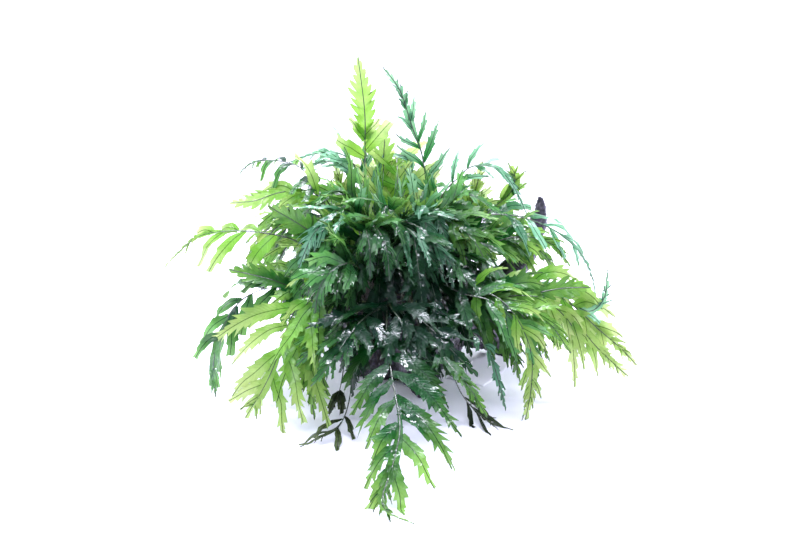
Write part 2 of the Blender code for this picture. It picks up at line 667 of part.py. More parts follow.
def main():
    clear_scene()
    plant = bpy.data.collections.new("african_water_fern_on_driftwood")
    bpy.context.scene.collection.children.link(plant)
    make_driftwood(plant)
    make_rhizomes(plant)
    make_label(plant)
    make_fronds(plant)


main()
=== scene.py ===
import bisect
import math
import random
from collections import namedtuple

import bpy
import numpy
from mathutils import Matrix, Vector, noise
from mathutils.bvhtree import BVHTree
from mathutils.kdtree import KDTree


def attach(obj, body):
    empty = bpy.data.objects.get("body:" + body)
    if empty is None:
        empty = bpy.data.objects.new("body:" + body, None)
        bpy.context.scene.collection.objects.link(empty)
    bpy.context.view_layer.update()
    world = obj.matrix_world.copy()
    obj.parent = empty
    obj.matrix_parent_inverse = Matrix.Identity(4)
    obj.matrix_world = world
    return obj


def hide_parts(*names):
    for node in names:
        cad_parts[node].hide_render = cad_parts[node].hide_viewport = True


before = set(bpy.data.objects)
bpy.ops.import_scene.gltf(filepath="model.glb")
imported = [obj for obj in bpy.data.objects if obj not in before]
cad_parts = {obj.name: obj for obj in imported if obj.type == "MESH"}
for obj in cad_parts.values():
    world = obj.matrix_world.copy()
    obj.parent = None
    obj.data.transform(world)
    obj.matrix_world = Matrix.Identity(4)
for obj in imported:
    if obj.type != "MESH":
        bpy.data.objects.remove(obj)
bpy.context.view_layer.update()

# Driftwood.
# A root of water-worn bog wood, dark and damp. It forks five times and stands on its sawn foot and its roots.
# Here it is one unbroken piece with long grain, over the six solids that the part splits it into.
# Sizes are in millimetres, which MM turns to metres. Each knot of a limb has its x, y, z and radius.
MM = 0.001
CROWN = [
    (-62, 2, 36, 25), (-45, 0, 38, 38), (-10, -4, 38, 46), (16, -4, 38, 45), (38, 2, 39, 36), (52, 3, 40, 24),
]
LIMBS = {
    "driftwood_root_left": [
        (-30, 0, 38, 19), (-60, -8, 46, 15), (-84, -18, 62, 12), (-98, -26, 84, 9), (-103, -30, 98, 5),
    ],
    "driftwood_root_front": [(10, -15, 32, 20), (14, -48, 22, 18), (19, -62, 9, 14), (21, -73, 4, 8)],
    "driftwood_root_back": [(-8, 12, 34, 20), (-15, 48, 28, 17), (-22, 78, 14, 13), (-27, 100, 6, 8)],
    "driftwood_root_right": [
        (20, 0, 34, 18), (55, 12, 32, 15), (80, 24, 20, 12), (98, 32, 10, 10), (112, 37, 6, 6),
    ],
    "driftwood_spur_right": [
        (5, 4, 40, 18), (42, 18, 62, 14), (80, 38, 66, 12), (108, 52, 80, 11), (124, 58, 110, 9),
        (129, 60, 132, 8), (128, 60, 146, 4),
    ],
}
LUMP = 3.6
LUMP_SIZE = 24
GRAIN_WIDTH = 2.6
GRAIN_LENGTH = 46
CHECK_WIDTH = 9
CHECK_DEPTH = 2.2
KNOB_SIZE = 9
KNOB_HEIGHT = 1.1
SKIN_STEP = 1.7
STAIN = 22
PORE = 1.6


def linear(code):
    """An sRGB hex colour as linear red, green, blue and alpha."""
    channels = [int(code[k:k + 2], 16) / 255 for k in (1, 3, 5)]
    return [c / 12.92 if c <= 0.04045 else ((c + 0.055) / 1.055) ** 2.4 for c in channels] + [1]


def add(tree, kind, inputs=None, **settings):
    """Adds a shader node. An input takes a value, an output, or a node, for its first output in use."""
    made = tree.nodes.new("ShaderNode" + kind)
    for field, value in settings.items():
        setattr(made, field, value)
    for socket, value in (inputs or {}).items():
        if isinstance(value, bpy.types.Node):
            value = next(output for output in value.outputs if output.enabled)
        if isinstance(value, bpy.types.NodeSocket):
            tree.links.new(value, made.inputs[socket])
        else:
            made.inputs[socket].default_value = value
    return made


def new_material(name):
    """A node material with nothing in it yet, and its tree."""
    material = bpy.data.materials.new(name)
    material.use_nodes = True
    material.node_tree.nodes.clear()
    return material, material.node_tree


def smooth(points, step):
    """Points about a step apart on a Catmull-Rom curve through the given ones, radii included."""
    rows = [list(p) for p in points]
    before_first = [2 * a - b for a, b in zip(rows[0], rows[1])]
    after_last = [2 * a - b for a, b in zip(rows[-1], rows[-2])]
    rows = [before_first, *rows, after_last]
    made = []
    for before, start, end, after in zip(rows, rows[1:], rows[2:], rows[3:]):
        count = max(2, round(math.dist(start[:3], end[:3]) / step))
        for k in range(count):
            t = k / count
            pull = (
                -t + 2 * t ** 2 - t ** 3, 2 - 5 * t ** 2 + 3 * t ** 3,
                t + 4 * t ** 2 - 3 * t ** 3, t ** 3 - t ** 2,
            )
            fours = zip(before, start, end, after)
            made.append([sum(w * v for w, v in zip(pull, four)) / 2 for four in fours])
    made.append(rows[-2])
    return made


def tubes(name, lines, roundness):
    """Round closed tubes, one for each line of points of (x, y, z, radius), as one mesh in millimetres."""
    curve = bpy.data.curves.new(name, "CURVE")
    curve.dimensions = "3D"
    curve.bevel_depth = 1
    curve.bevel_resolution = roundness
    curve.use_fill_caps = True
    for line in lines:
        spline = curve.splines.new("POLY")
        spline.points.add(len(line) - 1)
        for point, (x, y, z, radius) in zip(spline.points, line):
            point.co = (x, y, z, 1)
            point.radius = radius
    item = bpy.data.objects.new(name, curve)
    bpy.context.scene.collection.objects.link(item)
    view = bpy.context.evaluated_depsgraph_get()
    mesh = bpy.data.meshes.new_from_object(item.evaluated_get(view))
    bpy.data.objects.remove(item)
    return mesh


def place_piece(name, mesh, materials, nodes=()):
    """Makes a piece of a mesh in millimetres, smooth, riding on the plant, in place of the nodes named."""
    mesh.transform(((MM, 0, 0, 0), (0, MM, 0, 0), (0, 0, MM, 0), (0, 0, 0, 1)))
    item = bpy.data.objects.new(name, mesh)
    bpy.context.scene.collection.objects.link(item)
    for material in materials:
        mesh.materials.append(material)
    mesh.shade_smooth()
    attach(item, "root")
    if nodes:
        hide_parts(*nodes)
    return item


def lumpy(mesh):
    """Pushes the skin in and out by the same lumps that the solids have."""
    mesh.calc_loop_triangles()
    normals = [v.normal.copy() for v in mesh.vertices]
    for vertex, normal in zip(mesh.vertices, normals):
        vertex.co += normal * LUMP * noise.noise(vertex.co / LUMP_SIZE)


wood_lines = [smooth(route, 5) for route in [CROWN, *LIMBS.values()]]
for line in wood_lines[1:]:
    for k, knot in enumerate(line):
        worn = 1 - 0.35 * max(0, 1 - (len(line) - 1 - k) / 4) ** 2
        knot[3] *= worn * (1 + 0.16 * noise.noise(Vector(knot[:3]) / 11))
rough_wood = tubes("driftwood", wood_lines, roundness=7)
lumpy(rough_wood)
shaper = bpy.data.objects.new("driftwood_shaper", rough_wood)
bpy.context.scene.collection.objects.link(shaper)
remesh = shaper.modifiers.new("one skin", "REMESH")
remesh.mode = "VOXEL"
remesh.voxel_size = SKIN_STEP
relax = shaper.modifiers.new("soft forks", "SMOOTH")
relax.iterations = 6
relax.factor = 0.6
view = bpy.context.evaluated_depsgraph_get()
wood_mesh = bpy.data.meshes.new_from_object(shaper.evaluated_get(view))
bpy.data.objects.remove(shaper)

# Grain: long ridges and the deeper drying checks follow each limb, by the nearest place on its middle line.
marks = []
for line in wood_lines:
    run = 0
    for a, b in zip(line, line[1:]):
        marks.append((Vector(a[:3]), run))
        run += math.dist(a[:3], b[:3])
middle_lines = KDTree(len(marks))
for index, (place, _) in enumerate(marks):
    middle_lines.insert(place, index)
middle_lines.balance()
grain = []
normals = [v.normal.copy() for v in wood_mesh.vertices]
for vertex, normal in zip(wood_mesh.vertices, normals):
    _, index, _ = middle_lines.find(vertex.co)
    centre, run = marks[index]
    around = vertex.co - centre
    fine = noise.fractal(around / GRAIN_WIDTH + Vector((0.3, 0.5, 0.8)) * run / GRAIN_LENGTH, 0.6, 2, 3)
    check = noise.noise(around / CHECK_WIDTH + Vector((7.1, 3.3, run / 90)))
    groove = max(0, 1 - abs(check) / 0.1)
    knobs = noise.noise(vertex.co / KNOB_SIZE + Vector((3.7, 1.1, 5.9)))
    vertex.co += normal * (fine - CHECK_DEPTH * groove + KNOB_HEIGHT * knobs)
    vertex.co.z = max(vertex.co.z, 0)
    grain.append(0.5 + 0.4 * fine - 0.55 * groove)
wood_mesh.attributes.new("grain", "FLOAT", "POINT").data.foreach_set("value", grain)

# Bog wood, worn smooth and soaked: nearly black in its grooves, purple-brown on its ridges, damply glossy.
bog_wood, tree = new_material("bog_wood")
ridges = add(tree, "Attribute", attribute_name="grain").outputs["Fac"]
place = add(tree, "TexCoord").outputs["Object"]
stains = add(tree, "TexNoise", {"Vector": place, "Scale": 1 / (STAIN * MM), "Detail": 4})
both = add(tree, "Math", {0: ridges, 1: stains}, operation="ADD")
middle = add(tree, "Math", {0: both, 1: 0.5}, operation="MULTIPLY")
tone = add(tree, "ValToRGB", {0: middle})
for spot, code, position in zip(tone.color_ramp.elements, ("#050408", "#6a5a7c"), (0.2, 0.8)):
    spot.color = linear(code)
    spot.position = position
tone.color_ramp.elements.new(0.5).color = linear("#1a1422")
pores = add(tree, "TexNoise", {"Vector": place, "Scale": 1 / (PORE * MM), "Detail": 3})
relief = add(tree, "Bump", {"Height": pores, "Strength": 0.5, "Distance": 0.0005})
damp = add(tree, "MapRange", {"Value": stains, "To Min": 0.28, "To Max": 0.6})
wood_shader = add(tree, "BsdfPrincipled", {
    "Base Color": tone, "Roughness": damp, "Normal": relief, "IOR": 1.45, "Coat Weight": 0.3,
    "Coat Roughness": 0.15,
})
add(tree, "OutputMaterial", {"Surface": wood_shader})
place_piece("driftwood", wood_mesh, [bog_wood], ["driftwood_crown", *LIMBS])

# Rhizomes.
# Three creeping stems as thick as a pencil, green under brown scales. They run over the crown and hold the
# whole plant on the wood, as every frond grows from one of them.
RHIZOMES = {"rhizome_front": -42, "rhizome_top": 2, "rhizome_back": 46}
SCALE_SIZE = 2.2
RHIZOME_RADIUS = 4.2
RHIZOME_ENDS = (-52, 35)
RHIZOME_HEIGHT = RHIZOME_RADIUS + LUMP + 1
SLOT_STEP = 5.2
GAP = 0.3


def crown_middle(x):
    """The crown's centre and radius at x."""
    nearest = min(smooth(CROWN, 2), key=lambda p: abs(p[0] - x))
    return Vector(nearest[:3]), nearest[3]


def rhizome_line(turn):
    """The creeping stem's centre line above the crown, winding a little as it runs along it."""
    first, last = RHIZOME_ENDS
    count = 12
    places = []
    for k in range(count + 1):
        x = first + (last - first) * k / count
        centre, radius = crown_middle(x)
        angle = math.radians(turn + 7 * math.sin(k * 0.9 + turn))
        way = Vector((0, math.sin(angle), math.cos(angle)))
        places.append(Vector((x, centre.y, centre.z)) + way * (radius + RHIZOME_HEIGHT))
    return places


class Path:
    """A line that can be asked for a place and a direction at any distance along it."""

    def __init__(self, points, step=4):
        self.places = [Vector(p) for p in smooth(points, step)]
        self.marks = [0]
        for a, b in zip(self.places, self.places[1:]):
            self.marks.append(self.marks[-1] + (b - a).length)
        self.length = self.marks[-1]

    def at(self, distance):
        distance = min(max(distance, 0), self.length)
        k = min(bisect.bisect_right(self.marks, distance), len(self.marks) - 1) - 1
        span = self.marks[k + 1] - self.marks[k]
        return self.places[k].lerp(self.places[k + 1], (distance - self.marks[k]) / span)

    def along(self, distance):
        return (self.at(distance + 3) - self.at(distance - 3)).normalized()

    def frame(self, distance, face):
        """The place, and the directions along, across and up from the blade."""
        ahead = self.along(distance)
        across = ahead.cross(face).normalized()
        return self.at(distance), ahead, across, across.cross(ahead)


def slots():
    """Where fronds can grow from: places along the rhizomes, with the stem's direction there."""
    found = []
    for turn in RHIZOMES.values():
        line = Path(rhizome_line(turn))
        for k in range(1, int(line.length / SLOT_STEP)):
            found.append((line.at(k * SLOT_STEP), line.along(k * SLOT_STEP)))
    return found


# Rhizome skin: living green stem under dry brown scales, dull, with the scales' tips catching light.
rhizome_skin, tree = new_material("rhizome_skin")
place = add(tree, "TexCoord").outputs["Object"]
scales = add(tree, "TexVoronoi", {"Vector": place, "Scale": 1 / (SCALE_SIZE * MM)})
tone = add(tree, "ValToRGB", {0: scales})
for spot, code in zip(tone.color_ramp.elements, ("#1d1a10", "#4c5a2a")):
    spot.color = linear(code)
relief = add(tree, "Bump", {"Height": scales, "Strength": 0.8, "Distance": 0.0006})
stem_shader = add(tree, "BsdfPrincipled", {"Base Color": tone, "Roughness": 0.5, "Normal": relief})
add(tree, "OutputMaterial", {"Surface": stem_shader})

for name, turn in RHIZOMES.items():
    line = Path(rhizome_line(turn), step=1)
    knots = []
    for place, run in zip(line.places, line.marks):
        taper = min(1, 0.55 + run / 14, 0.5 + (line.length - run) / 12)
        swelling = 1 + 0.12 * noise.noise(Vector((run / 5, turn, 0)))
        knots.append((*place, RHIZOME_RADIUS * taper * swelling))
    mesh = tubes(name, [knots], roundness=4)
    place_piece(name, mesh, [rhizome_skin], [name])

# Root fibres.
# A felt of fine dark-brown roots that grow from under the rhizomes and cling to the wood. The short stubs
# of stalks that were cut off stand up from the rhizomes among them.
FIBRES = 260
STUBS = 16
STUB_LENGTH = 14
STUB_RADIUS = 1.1
FIBRE_RADIUS = (0.16, 0.3)
HAIR_BAND = 4
fibre_lines = []
luck = random.Random("root fibres")
for number in range(FIBRES):
    stub = number < STUBS
    turn = math.radians(luck.choice(list(RHIZOMES.values())))
    x = luck.uniform(*RHIZOME_ENDS)
    spread = luck.choice((-1, 1)) * luck.uniform(0.5, 2)
    drift = luck.uniform(-22, 22)
    knots = []
    for k in range(15):
        share = k / 14
        centre, radius = crown_middle(x + drift * share)
        angle = turn + spread * share
        skin = radius + 0.7 * LUMP * noise.noise(Vector((x, angle * 20, number)) / 9) + 1.6
        if stub:
            reach = skin + 4 + STUB_LENGTH * share
            y = centre.y + reach * math.sin(turn)
            z = centre.z + reach * math.cos(turn)
        else:
            y = centre.y + skin * math.sin(angle) + 2 * noise.noise(Vector((number, share * 4, 0)))
            z = centre.z + skin * math.cos(angle) + 3 * (1 - share)
        thickness = STUB_RADIUS if stub else luck.uniform(*FIBRE_RADIUS)
        knots.append((x + drift * share, y, max(z, 0.6), thickness))
    fibre_lines.append(knots)

# Root hair: thin, wiry and damp, dark brown in bands, with a faint shine.
root_hair, tree = new_material("root_hair")
place = add(tree, "TexCoord").outputs["Object"]
bands = add(tree, "TexNoise", {"Vector": place, "Scale": 1 / (HAIR_BAND * MM), "Detail": 2})
tone = add(tree, "Mix", {0: bands, 6: linear("#120c0c"), 7: linear("#4a3830")}, data_type="RGBA")
hair_shader = add(tree, "BsdfPrincipled", {"Base Color": tone, "Roughness": 0.45, "IOR": 1.45})
add(tree, "OutputMaterial", {"Surface": hair_shader})
place_piece("root_fibres", tubes("root_fibres", fibre_lines, roundness=0), [root_hair])

# Fronds.
# Each frond is one leaf: a wiry dark stalk that goes on as the midrib, with toothed side lobes set along it
# and a lobed tip. It grows from a rhizome at the same place and along the same way as its solid.
BLADE = 0.9
STALK = 2.4
FOOT = 9
ROOM = 0.8
ROOM_BESIDE = 0.9
LOWEST = 1.2
LEFT = (-0.5, -0.5, 0.7)
RIGHT = (0.5, -0.5, 0.7)

# One leaf: the route of its rachis, the way its blade faces, the share of it that is bare, its pairs of
# side lobes or pinnae with their length and width, the length and width of its tip, and how far the pinnae
# lean from the rachis.
Frond = namedtuple("Frond", "name tone route face bare pairs pinna width tip tip_width lean")
FRONDS = [
    Frond("old_frond_left", "old", [
        (-24, -38, 80), (-36, -76, 50), (-40, -112, 16), (-46, -150, 9), (-58, -166, 7), (-74, -180, 4),
    ], face=(0, -0.3, 1), bare=0.66, pairs=1, pinna=26, width=7, tip=24, tip_width=6, lean=30),
    Frond("old_frond_left_small", "old", [
        (-34, -36, 80), (-44, -70, 52), (-48, -98, 20), (-56, -126, 6),
    ], face=(0, -0.3, 1), bare=0.74, pairs=1, pinna=17, width=6, tip=22, tip_width=5, lean=26),
    Frond("old_frond_right", "old", [
        (22, -38, 80), (38, -94, 50), (46, -106, 24), (56, -116, 11), (66, -130, 6), (76, -146, 3),
    ], face=(0, -0.3, 1), bare=0.66, pairs=1, pinna=24, width=7, tip=24, tip_width=7, lean=24),
    Frond("frond_upright_lime", "lime", [
        (-15, 10, 90), (-30, 15, 140), (-30, 10, 195), (-30, 5, 230), (-35, 0, 275),
    ], face=(0.1, -1, 0.1), bare=0.52, pairs=3, pinna=43, width=13, tip=62, tip_width=20, lean=48),
    Frond("frond_upright_blue", "blue", [
        (30, 25, 90), (25, 30, 140), (20, 30, 185), (10, 25, 215), (0, 20, 245), (-15, 15, 266),
    ], face=(0.2, -1, 0.2), bare=0.36, pairs=4, pinna=36, width=9, tip=44, tip_width=10, lean=36),
    Frond("frond_front_centre", "fresh", [
        (-10, -35, 90), (-10, -85, 88), (-10, -130, 70), (-5, -175, 52), (0, -215, 36), (-5, -245, 20),
        (-12, -270, 7), (-6, -284, 4), (10, -294, 2),
    ], face=(0, -0.5, 0.85), bare=0.3, pairs=5, pinna=70, width=15, tip=48, tip_width=11, lean=42),
    Frond("frond_front_left_lime", "lime", [
        (-40, -30, 85), (-70, -85, 98), (-85, -105, 82), (-92, -115, 62), (-104, -124, 34),
        (-121, -130, 6),
    ], face=(-0.3, -0.8, 0.5), bare=0.38, pairs=4, pinna=62, width=13, tip=24, tip_width=12, lean=38),
    Frond("frond_front_left_strap", "fresh", [
        (-30, -35, 85), (-60, -95, 98), (-70, -118, 75), (-70, -130, 40), (-66, -138, 8),
    ], face=(0, -0.9, 0.4), bare=0.4, pairs=3, pinna=65, width=14, tip=44, tip_width=13, lean=24),
    Frond("frond_left_pale", "lime", [
        (-45, -20, 90), (-80, -35, 122), (-120, -45, 136), (-160, -50, 135), (-181, -50, 121),
        (-197, -50, 104),
    ], face=LEFT, bare=0.42, pairs=4, pinna=43, width=10, tip=44, tip_width=6, lean=44),
    Frond("frond_left_lime", "lime", [
        (-45, -5, 95), (-60, -20, 148), (-75, -25, 166), (-100, -30, 166), (-120, -35, 160),
        (-141, -40, 159),
    ], face=(0, -0.8, 0.6), bare=0.45, pairs=3, pinna=36, width=12, tip=40, tip_width=17, lean=40),
    Frond("frond_left_dark_arch", "deep", [
        (-40, 0, 95), (-60, -5, 150), (-80, -10, 180), (-96, -10, 188), (-117, -15, 190),
        (-131, -20, 184), (-137, -20, 172),
    ], face=(0, -0.3, 1), bare=0.45, pairs=4, pinna=24, width=8, tip=26, tip_width=5, lean=62),
    Frond("frond_left_broad", "fresh", [
        (-40, -25, 90), (-55, -45, 118), (-75, -56, 140), (-106, -62, 161),
    ], face=(-0.2, -0.9, 0.4), bare=0.3, pairs=2, pinna=36, width=14, tip=56, tip_width=24, lean=34),
    Frond("frond_left_middle", "fresh", [
        (-45, -30, 85), (-80, -66, 92), (-105, -76, 104), (-137, -80, 113),
    ], face=(-0.2, -0.7, 0.7), bare=0.3, pairs=3, pinna=43, width=14, tip=44, tip_width=18, lean=40),
    Frond("frond_left_hanging", "deep", [
        (-52, -25, 80), (-82, -60, 95), (-112, -75, 95), (-133, -80, 82), (-147, -85, 55),
        (-152, -85, 30), (-151, -85, 6),
    ], face=(-0.6, -0.7, 0.3), bare=0.36, pairs=4, pinna=43, width=8, tip=26, tip_width=9, lean=34),
    Frond("frond_right_arch_high", "blue", [
        (20, 20, 95), (35, 20, 150), (50, 15, 170), (62, 10, 181), (82, 5, 181), (97, 0, 166),
        (110, -5, 140),
    ], face=(0.2, -0.5, 0.85), bare=0.38, pairs=4, pinna=34, width=9, tip=42, tip_width=9, lean=48),
    Frond("frond_right_arch_wide", "blue", [
        (40, 0, 95), (62, -2, 136), (92, -6, 142), (120, -15, 136), (145, -20, 121), (161, -25, 99),
        (169, -30, 68),
    ], face=RIGHT, bare=0.36, pairs=4, pinna=43, width=10, tip=50, tip_width=7, lean=40),
    Frond("frond_right_long", "deep", [
        (8, -30, 90), (30, -78, 102), (50, -94, 97), (70, -106, 95), (86, -116, 84), (104, -124, 62),
        (102, -129, 28), (95, -130, 4),
    ], face=(0.2, -0.7, 0.7), bare=0.3, pairs=4, pinna=53, width=13, tip=62, tip_width=9, lean=46),
    Frond("frond_right_low", "lime", [
        (42, -20, 90), (88, -40, 97), (130, -55, 86), (147, -61, 62), (164, -68, 42), (190, -72, 18),
    ], face=(0.4, -0.8, 0.5), bare=0.44, pairs=3, pinna=60, width=15, tip=36, tip_width=14, lean=40),
    Frond("frond_right_hook", "blue", [
        (42, -5, 90), (98, -34, 87), (143, -45, 75), (160, -50, 70), (171, -50, 83), (172, -50, 106),
    ], face=(0.1, -0.7, 0.7), bare=0.5, pairs=3, pinna=34, width=10, tip=36, tip_width=8, lean=44),
    Frond("frond_right_middle", "fresh", [
        (30, -32, 90), (64, -68, 88), (95, -80, 91), (128, -86, 99), (151, -90, 101),
    ], face=(0.1, -0.8, 0.6), bare=0.32, pairs=3, pinna=43, width=14, tip=42, tip_width=17, lean=42),
    Frond("frond_right_under", "fresh", [
        (25, -38, 85), (54, -78, 82), (84, -94, 82), (114, -102, 78), (136, -102, 50),
    ], face=(0.1, -0.8, 0.6), bare=0.34, pairs=3, pinna=46, width=14, tip=34, tip_width=13, lean=44),
    Frond("frond_top_left_blue", "blue", [
        (-25, 35, 100), (-35, 48, 160), (-50, 50, 184), (-76, 50, 186), (-104, 50, 176),
    ], face=(0, -0.5, 0.85), bare=0.46, pairs=4, pinna=38, width=10, tip=32, tip_width=9, lean=46),
    Frond("frond_top_middle_lime", "lime", [
        (-8, 35, 100), (-14, 52, 140), (-15, 55, 175), (-13, 55, 207),
    ], face=(0, -1, 0.2), bare=0.45, pairs=2, pinna=38, width=14, tip=42, tip_width=18, lean=34),
    Frond("frond_back_lime_left", "lime", [
        (-35, 40, 95), (-50, 62, 135), (-60, 65, 178),
    ], face=(-0.2, -1, 0.2), bare=0.42, pairs=3, pinna=41, width=13, tip=34, tip_width=14, lean=34),
    Frond("frond_top_right_small", "blue", [
        (12, 38, 95), (15, 58, 140), (10, 60, 170), (4, 60, 182), (-12, 60, 181),
    ], face=(0, -0.7, 0.7), bare=0.55, pairs=2, pinna=26, width=9, tip=22, tip_width=8, lean=50),
    Frond("frond_right_upright", "lime", [
        (34, 28, 90), (56, 30, 125), (66, 26, 155), (72, 20, 184),
    ], face=(0.1, -1, 0.3), bare=0.4, pairs=3, pinna=43, width=14, tip=34, tip_width=14, lean=34),
    Frond("frond_right_spiky", "fresh", [
        (44, 18, 90), (80, 16, 128), (103, 11, 143), (107, 6, 160), (97, 5, 177),
    ], face=(0, -0.9, 0.5), bare=0.5, pairs=3, pinna=43, width=14, tip=24, tip_width=12, lean=44),
    Frond("frond_centre_fan", "blue", [
        (-5, -25, 95), (-8, -42, 140), (12, -64, 146), (32, -80, 130), (52, -92, 104),
    ], face=(0.1, -0.7, 0.7), bare=0.36, pairs=4, pinna=46, width=10, tip=34, tip_width=9, lean=44),
    Frond("frond_centre_down", "deep", [
        (-18, -30, 95), (-24, -64, 138), (-18, -86, 148), (-10, -104, 134), (-8, -112, 112),
    ], face=(-0.1, -0.8, 0.6), bare=0.42, pairs=3, pinna=41, width=13, tip=30, tip_width=12, lean=42),
    Frond("frond_centre_left_gloss", "deep", [
        (-28, -32, 90), (-34, -88, 118), (-48, -104, 122), (-62, -114, 108), (-66, -118, 84),
    ], face=(-0.2, -0.8, 0.6), bare=0.4, pairs=3, pinna=43, width=14, tip=28, tip_width=12, lean=44),
    Frond("frond_front_right_dark", "deep", [
        (4, -35, 90), (2, -102, 92), (20, -132, 84), (38, -150, 70), (58, -160, 52),
    ], face=(0.1, -0.7, 0.7), bare=0.42, pairs=4, pinna=48, width=14, tip=28, tip_width=12, lean=46),
    Frond("frond_front_right_low", "fresh", [
        (12, -38, 85), (14, -110, 66), (20, -160, 54), (36, -190, 44), (54, -205, 30),
    ], face=(0.2, -0.6, 0.8), bare=0.5, pairs=3, pinna=43, width=14, tip=36, tip_width=13, lean=44),
    Frond("frond_front_left_dark", "deep", [
        (-18, -36, 85), (-24, -110, 78), (-38, -138, 66), (-52, -158, 50), (-66, -168, 40),
    ], face=(-0.2, -0.6, 0.8), bare=0.46, pairs=3, pinna=48, width=14, tip=30, tip_width=13, lean=44),
    Frond("frond_right_drip", "blue", [
        (22, -35, 85), (54, -108, 72), (68, -124, 60), (76, -132, 38), (82, -134, 14),
    ], face=(0.2, -0.8, 0.5), bare=0.5, pairs=3, pinna=26, width=8, tip=26, tip_width=7, lean=40),
]

# The fronds that close the bush: name, tone, heading in degrees from +X, reach, crest and tip heights, pairs.
CLOSING = [
    ("frond_back_1", "deep", 75, 165, 145, 40, 4),
    ("frond_back_2", "fresh", 108, 170, 140, 30, 4),
    ("frond_back_3", "fresh", 42, 165, 135, 50, 4),
    ("frond_back_4", "deep", 140, 170, 140, 45, 4),
    ("frond_back_5", "lime", 92, 120, 180, 110, 3),
    ("frond_back_6", "fresh", 168, 150, 145, 80, 4),
    ("frond_back_7", "deep", 12, 150, 135, 75, 4),
    ("frond_front_1", "deep", 248, 125, 122, 55, 3),
    ("frond_front_2", "deep", 275, 110, 138, 80, 3),
    ("frond_front_3", "deep", 308, 132, 120, 52, 3),
    ("frond_front_4", "deep", 226, 122, 132, 72, 3),
    ("frond_front_5", "deep", 324, 122, 128, 68, 3),
    ("frond_front_6", "deep", 255, 92, 160, 112, 3),
    ("frond_front_7", "blue", 292, 78, 158, 122, 3),
    ("frond_crest_left", "deep", 205, 95, 166, 145, 3),
    ("frond_crest_right", "deep", -20, 90, 162, 145, 3),
]


def vary(key, spread):
    """A number within the spread that belongs to the key, the same in every run."""
    return random.Random(key).uniform(-spread, spread)


def closing_frond(name, tone, heading, reach, crest, tip_height, pairs):
    """A frond that closes the bush, from its heading, its reach and its heights."""
    angle = math.radians(heading)
    out = Vector((math.cos(angle), math.sin(angle), 0))
    route = [Vector((out.x * 38 - 4, out.y * 30, 90))]
    falling = (crest * 1.6 + tip_height) / 2.6
    for share, height in ((0.35, 0.85 * crest), (0.6, crest), (0.82, falling), (1, tip_height)):
        route.append(Vector((out.x * reach * share, out.y * reach * share, height)))
    sway = Vector((-out.y, out.x, 0)) * vary(name, 10)
    route = [tuple(p + sway * (k / 4)) for k, p in enumerate(route)]
    face = (out.x * 0.6, out.y * 0.6, 0.8)
    return Frond(name, tone, route, face, 0.34, pairs, pinna=50, width=14, tip=38, tip_width=15, lean=46)


def sheet(rows):
    """Points and faces of a strip through rows of two points, which may end in a single point."""
    points, faces = list(rows[0]), []
    for row in rows[1:]:
        first = len(points)
        points += row
        faces.append((first - 2, first - 1, *range(first, first + len(row))[::-1]))
    return points, faces


def slab(near, far):
    """A closed box around one span of a strip, larger than it by the room that a blade keeps."""
    ends = []
    for row, other in ((near, far), (far, near)):
        away = (sum(row, Vector()) / len(row) - sum(other, Vector()) / len(other)).normalized()
        beside = (near[1] - near[0]).normalized()
        ends.append([row[0] + (away - beside) * ROOM_BESIDE, row[-1] + (away + beside) * ROOM_BESIDE])
    (a, b), (c, d) = ends
    lift = (b - a).cross(c - a).normalized() * (ROOM + BLADE / 2)
    points = [p + lift for p in (a, b, d, c)] + [p - lift for p in (a, b, d, c)]
    sides = [(k, (k + 1) % 4, (k + 1) % 4 + 4, k + 4) for k in range(4)]
    return points, [(0, 1, 2, 3), (4, 5, 6, 7)] + sides


class Thicket:
    """What has grown so far, and whether a new blade has room beside it."""

    def __init__(self):
        self.points, self.faces, self.owners = [], [], []
        self.tree = None
        balls = []
        for route in [CROWN, *LIMBS.values()]:
            balls += [(*p[:3], p[3] + 0.8 * LUMP + 1) for p in smooth(route, 6)]
        for turn in RHIZOMES.values():
            balls += [(*p, RHIZOME_RADIUS + GAP / 2) for p in smooth(rhizome_line(turn), 1.5)]
        self.balls = numpy.array(balls)

    def add(self, points, faces, owner):
        first = len(self.points)
        self.points += points
        self.faces += [tuple(i + first for i in face) for face in faces]
        self.owners += [owner] * len(faces)
        self.tree = BVHTree.FromPolygons(self.points, self.faces)

    def open_air(self, rows):
        """Whether a strip through the rows keeps off the wood and the rhizomes."""
        lines = [(row[0], (row[0] + row[-1]) / 2, row[-1]) for row in rows]
        spans = [pair for near, far in zip(lines, lines[1:]) for pair in zip(near, far)]
        samples = [a.lerp(b, k / 8) for a, b in spans for k in range(9)]
        ways = numpy.array(samples)[:, None] - self.balls[None, :, :3]
        return (numpy.linalg.norm(ways, axis=2) > self.balls[:, 3]).all()

    def has_room(self, rows, owner):
        """Whether a strip through the rows keeps off every other frond."""
        if self.tree is None:
            return True
        for near, far in zip(rows, rows[1:]):
            touched = BVHTree.FromPolygons(*slab(near, far)).overlap(self.tree)
            if any(self.owners[face] != owner for _, face in touched):
                return False
        return True


# The ways that a rachis or a pinna is tried until one has room: the plain one comes first.
SWERVES = [
    (0, 0), (4, 0), (-4, 0), (0, 4), (8, 0), (-8, 0), (4, 6), (-4, 6), (0, -5), (12, 2), (-12, 2), (8, 8),
    (-8, 8), (0, 12), (14, 12), (-14, 12),
]
PINNA_TRIES = [
    (swing, lift, share)
    for share in (1, 0.8, 0.62)
    for lift in (10, -6, 24, -20, 40, -36)
    for swing in (0, 12, -12)
]
Layout = namedtuple("Layout", "length tip_start tip_width stations roots")


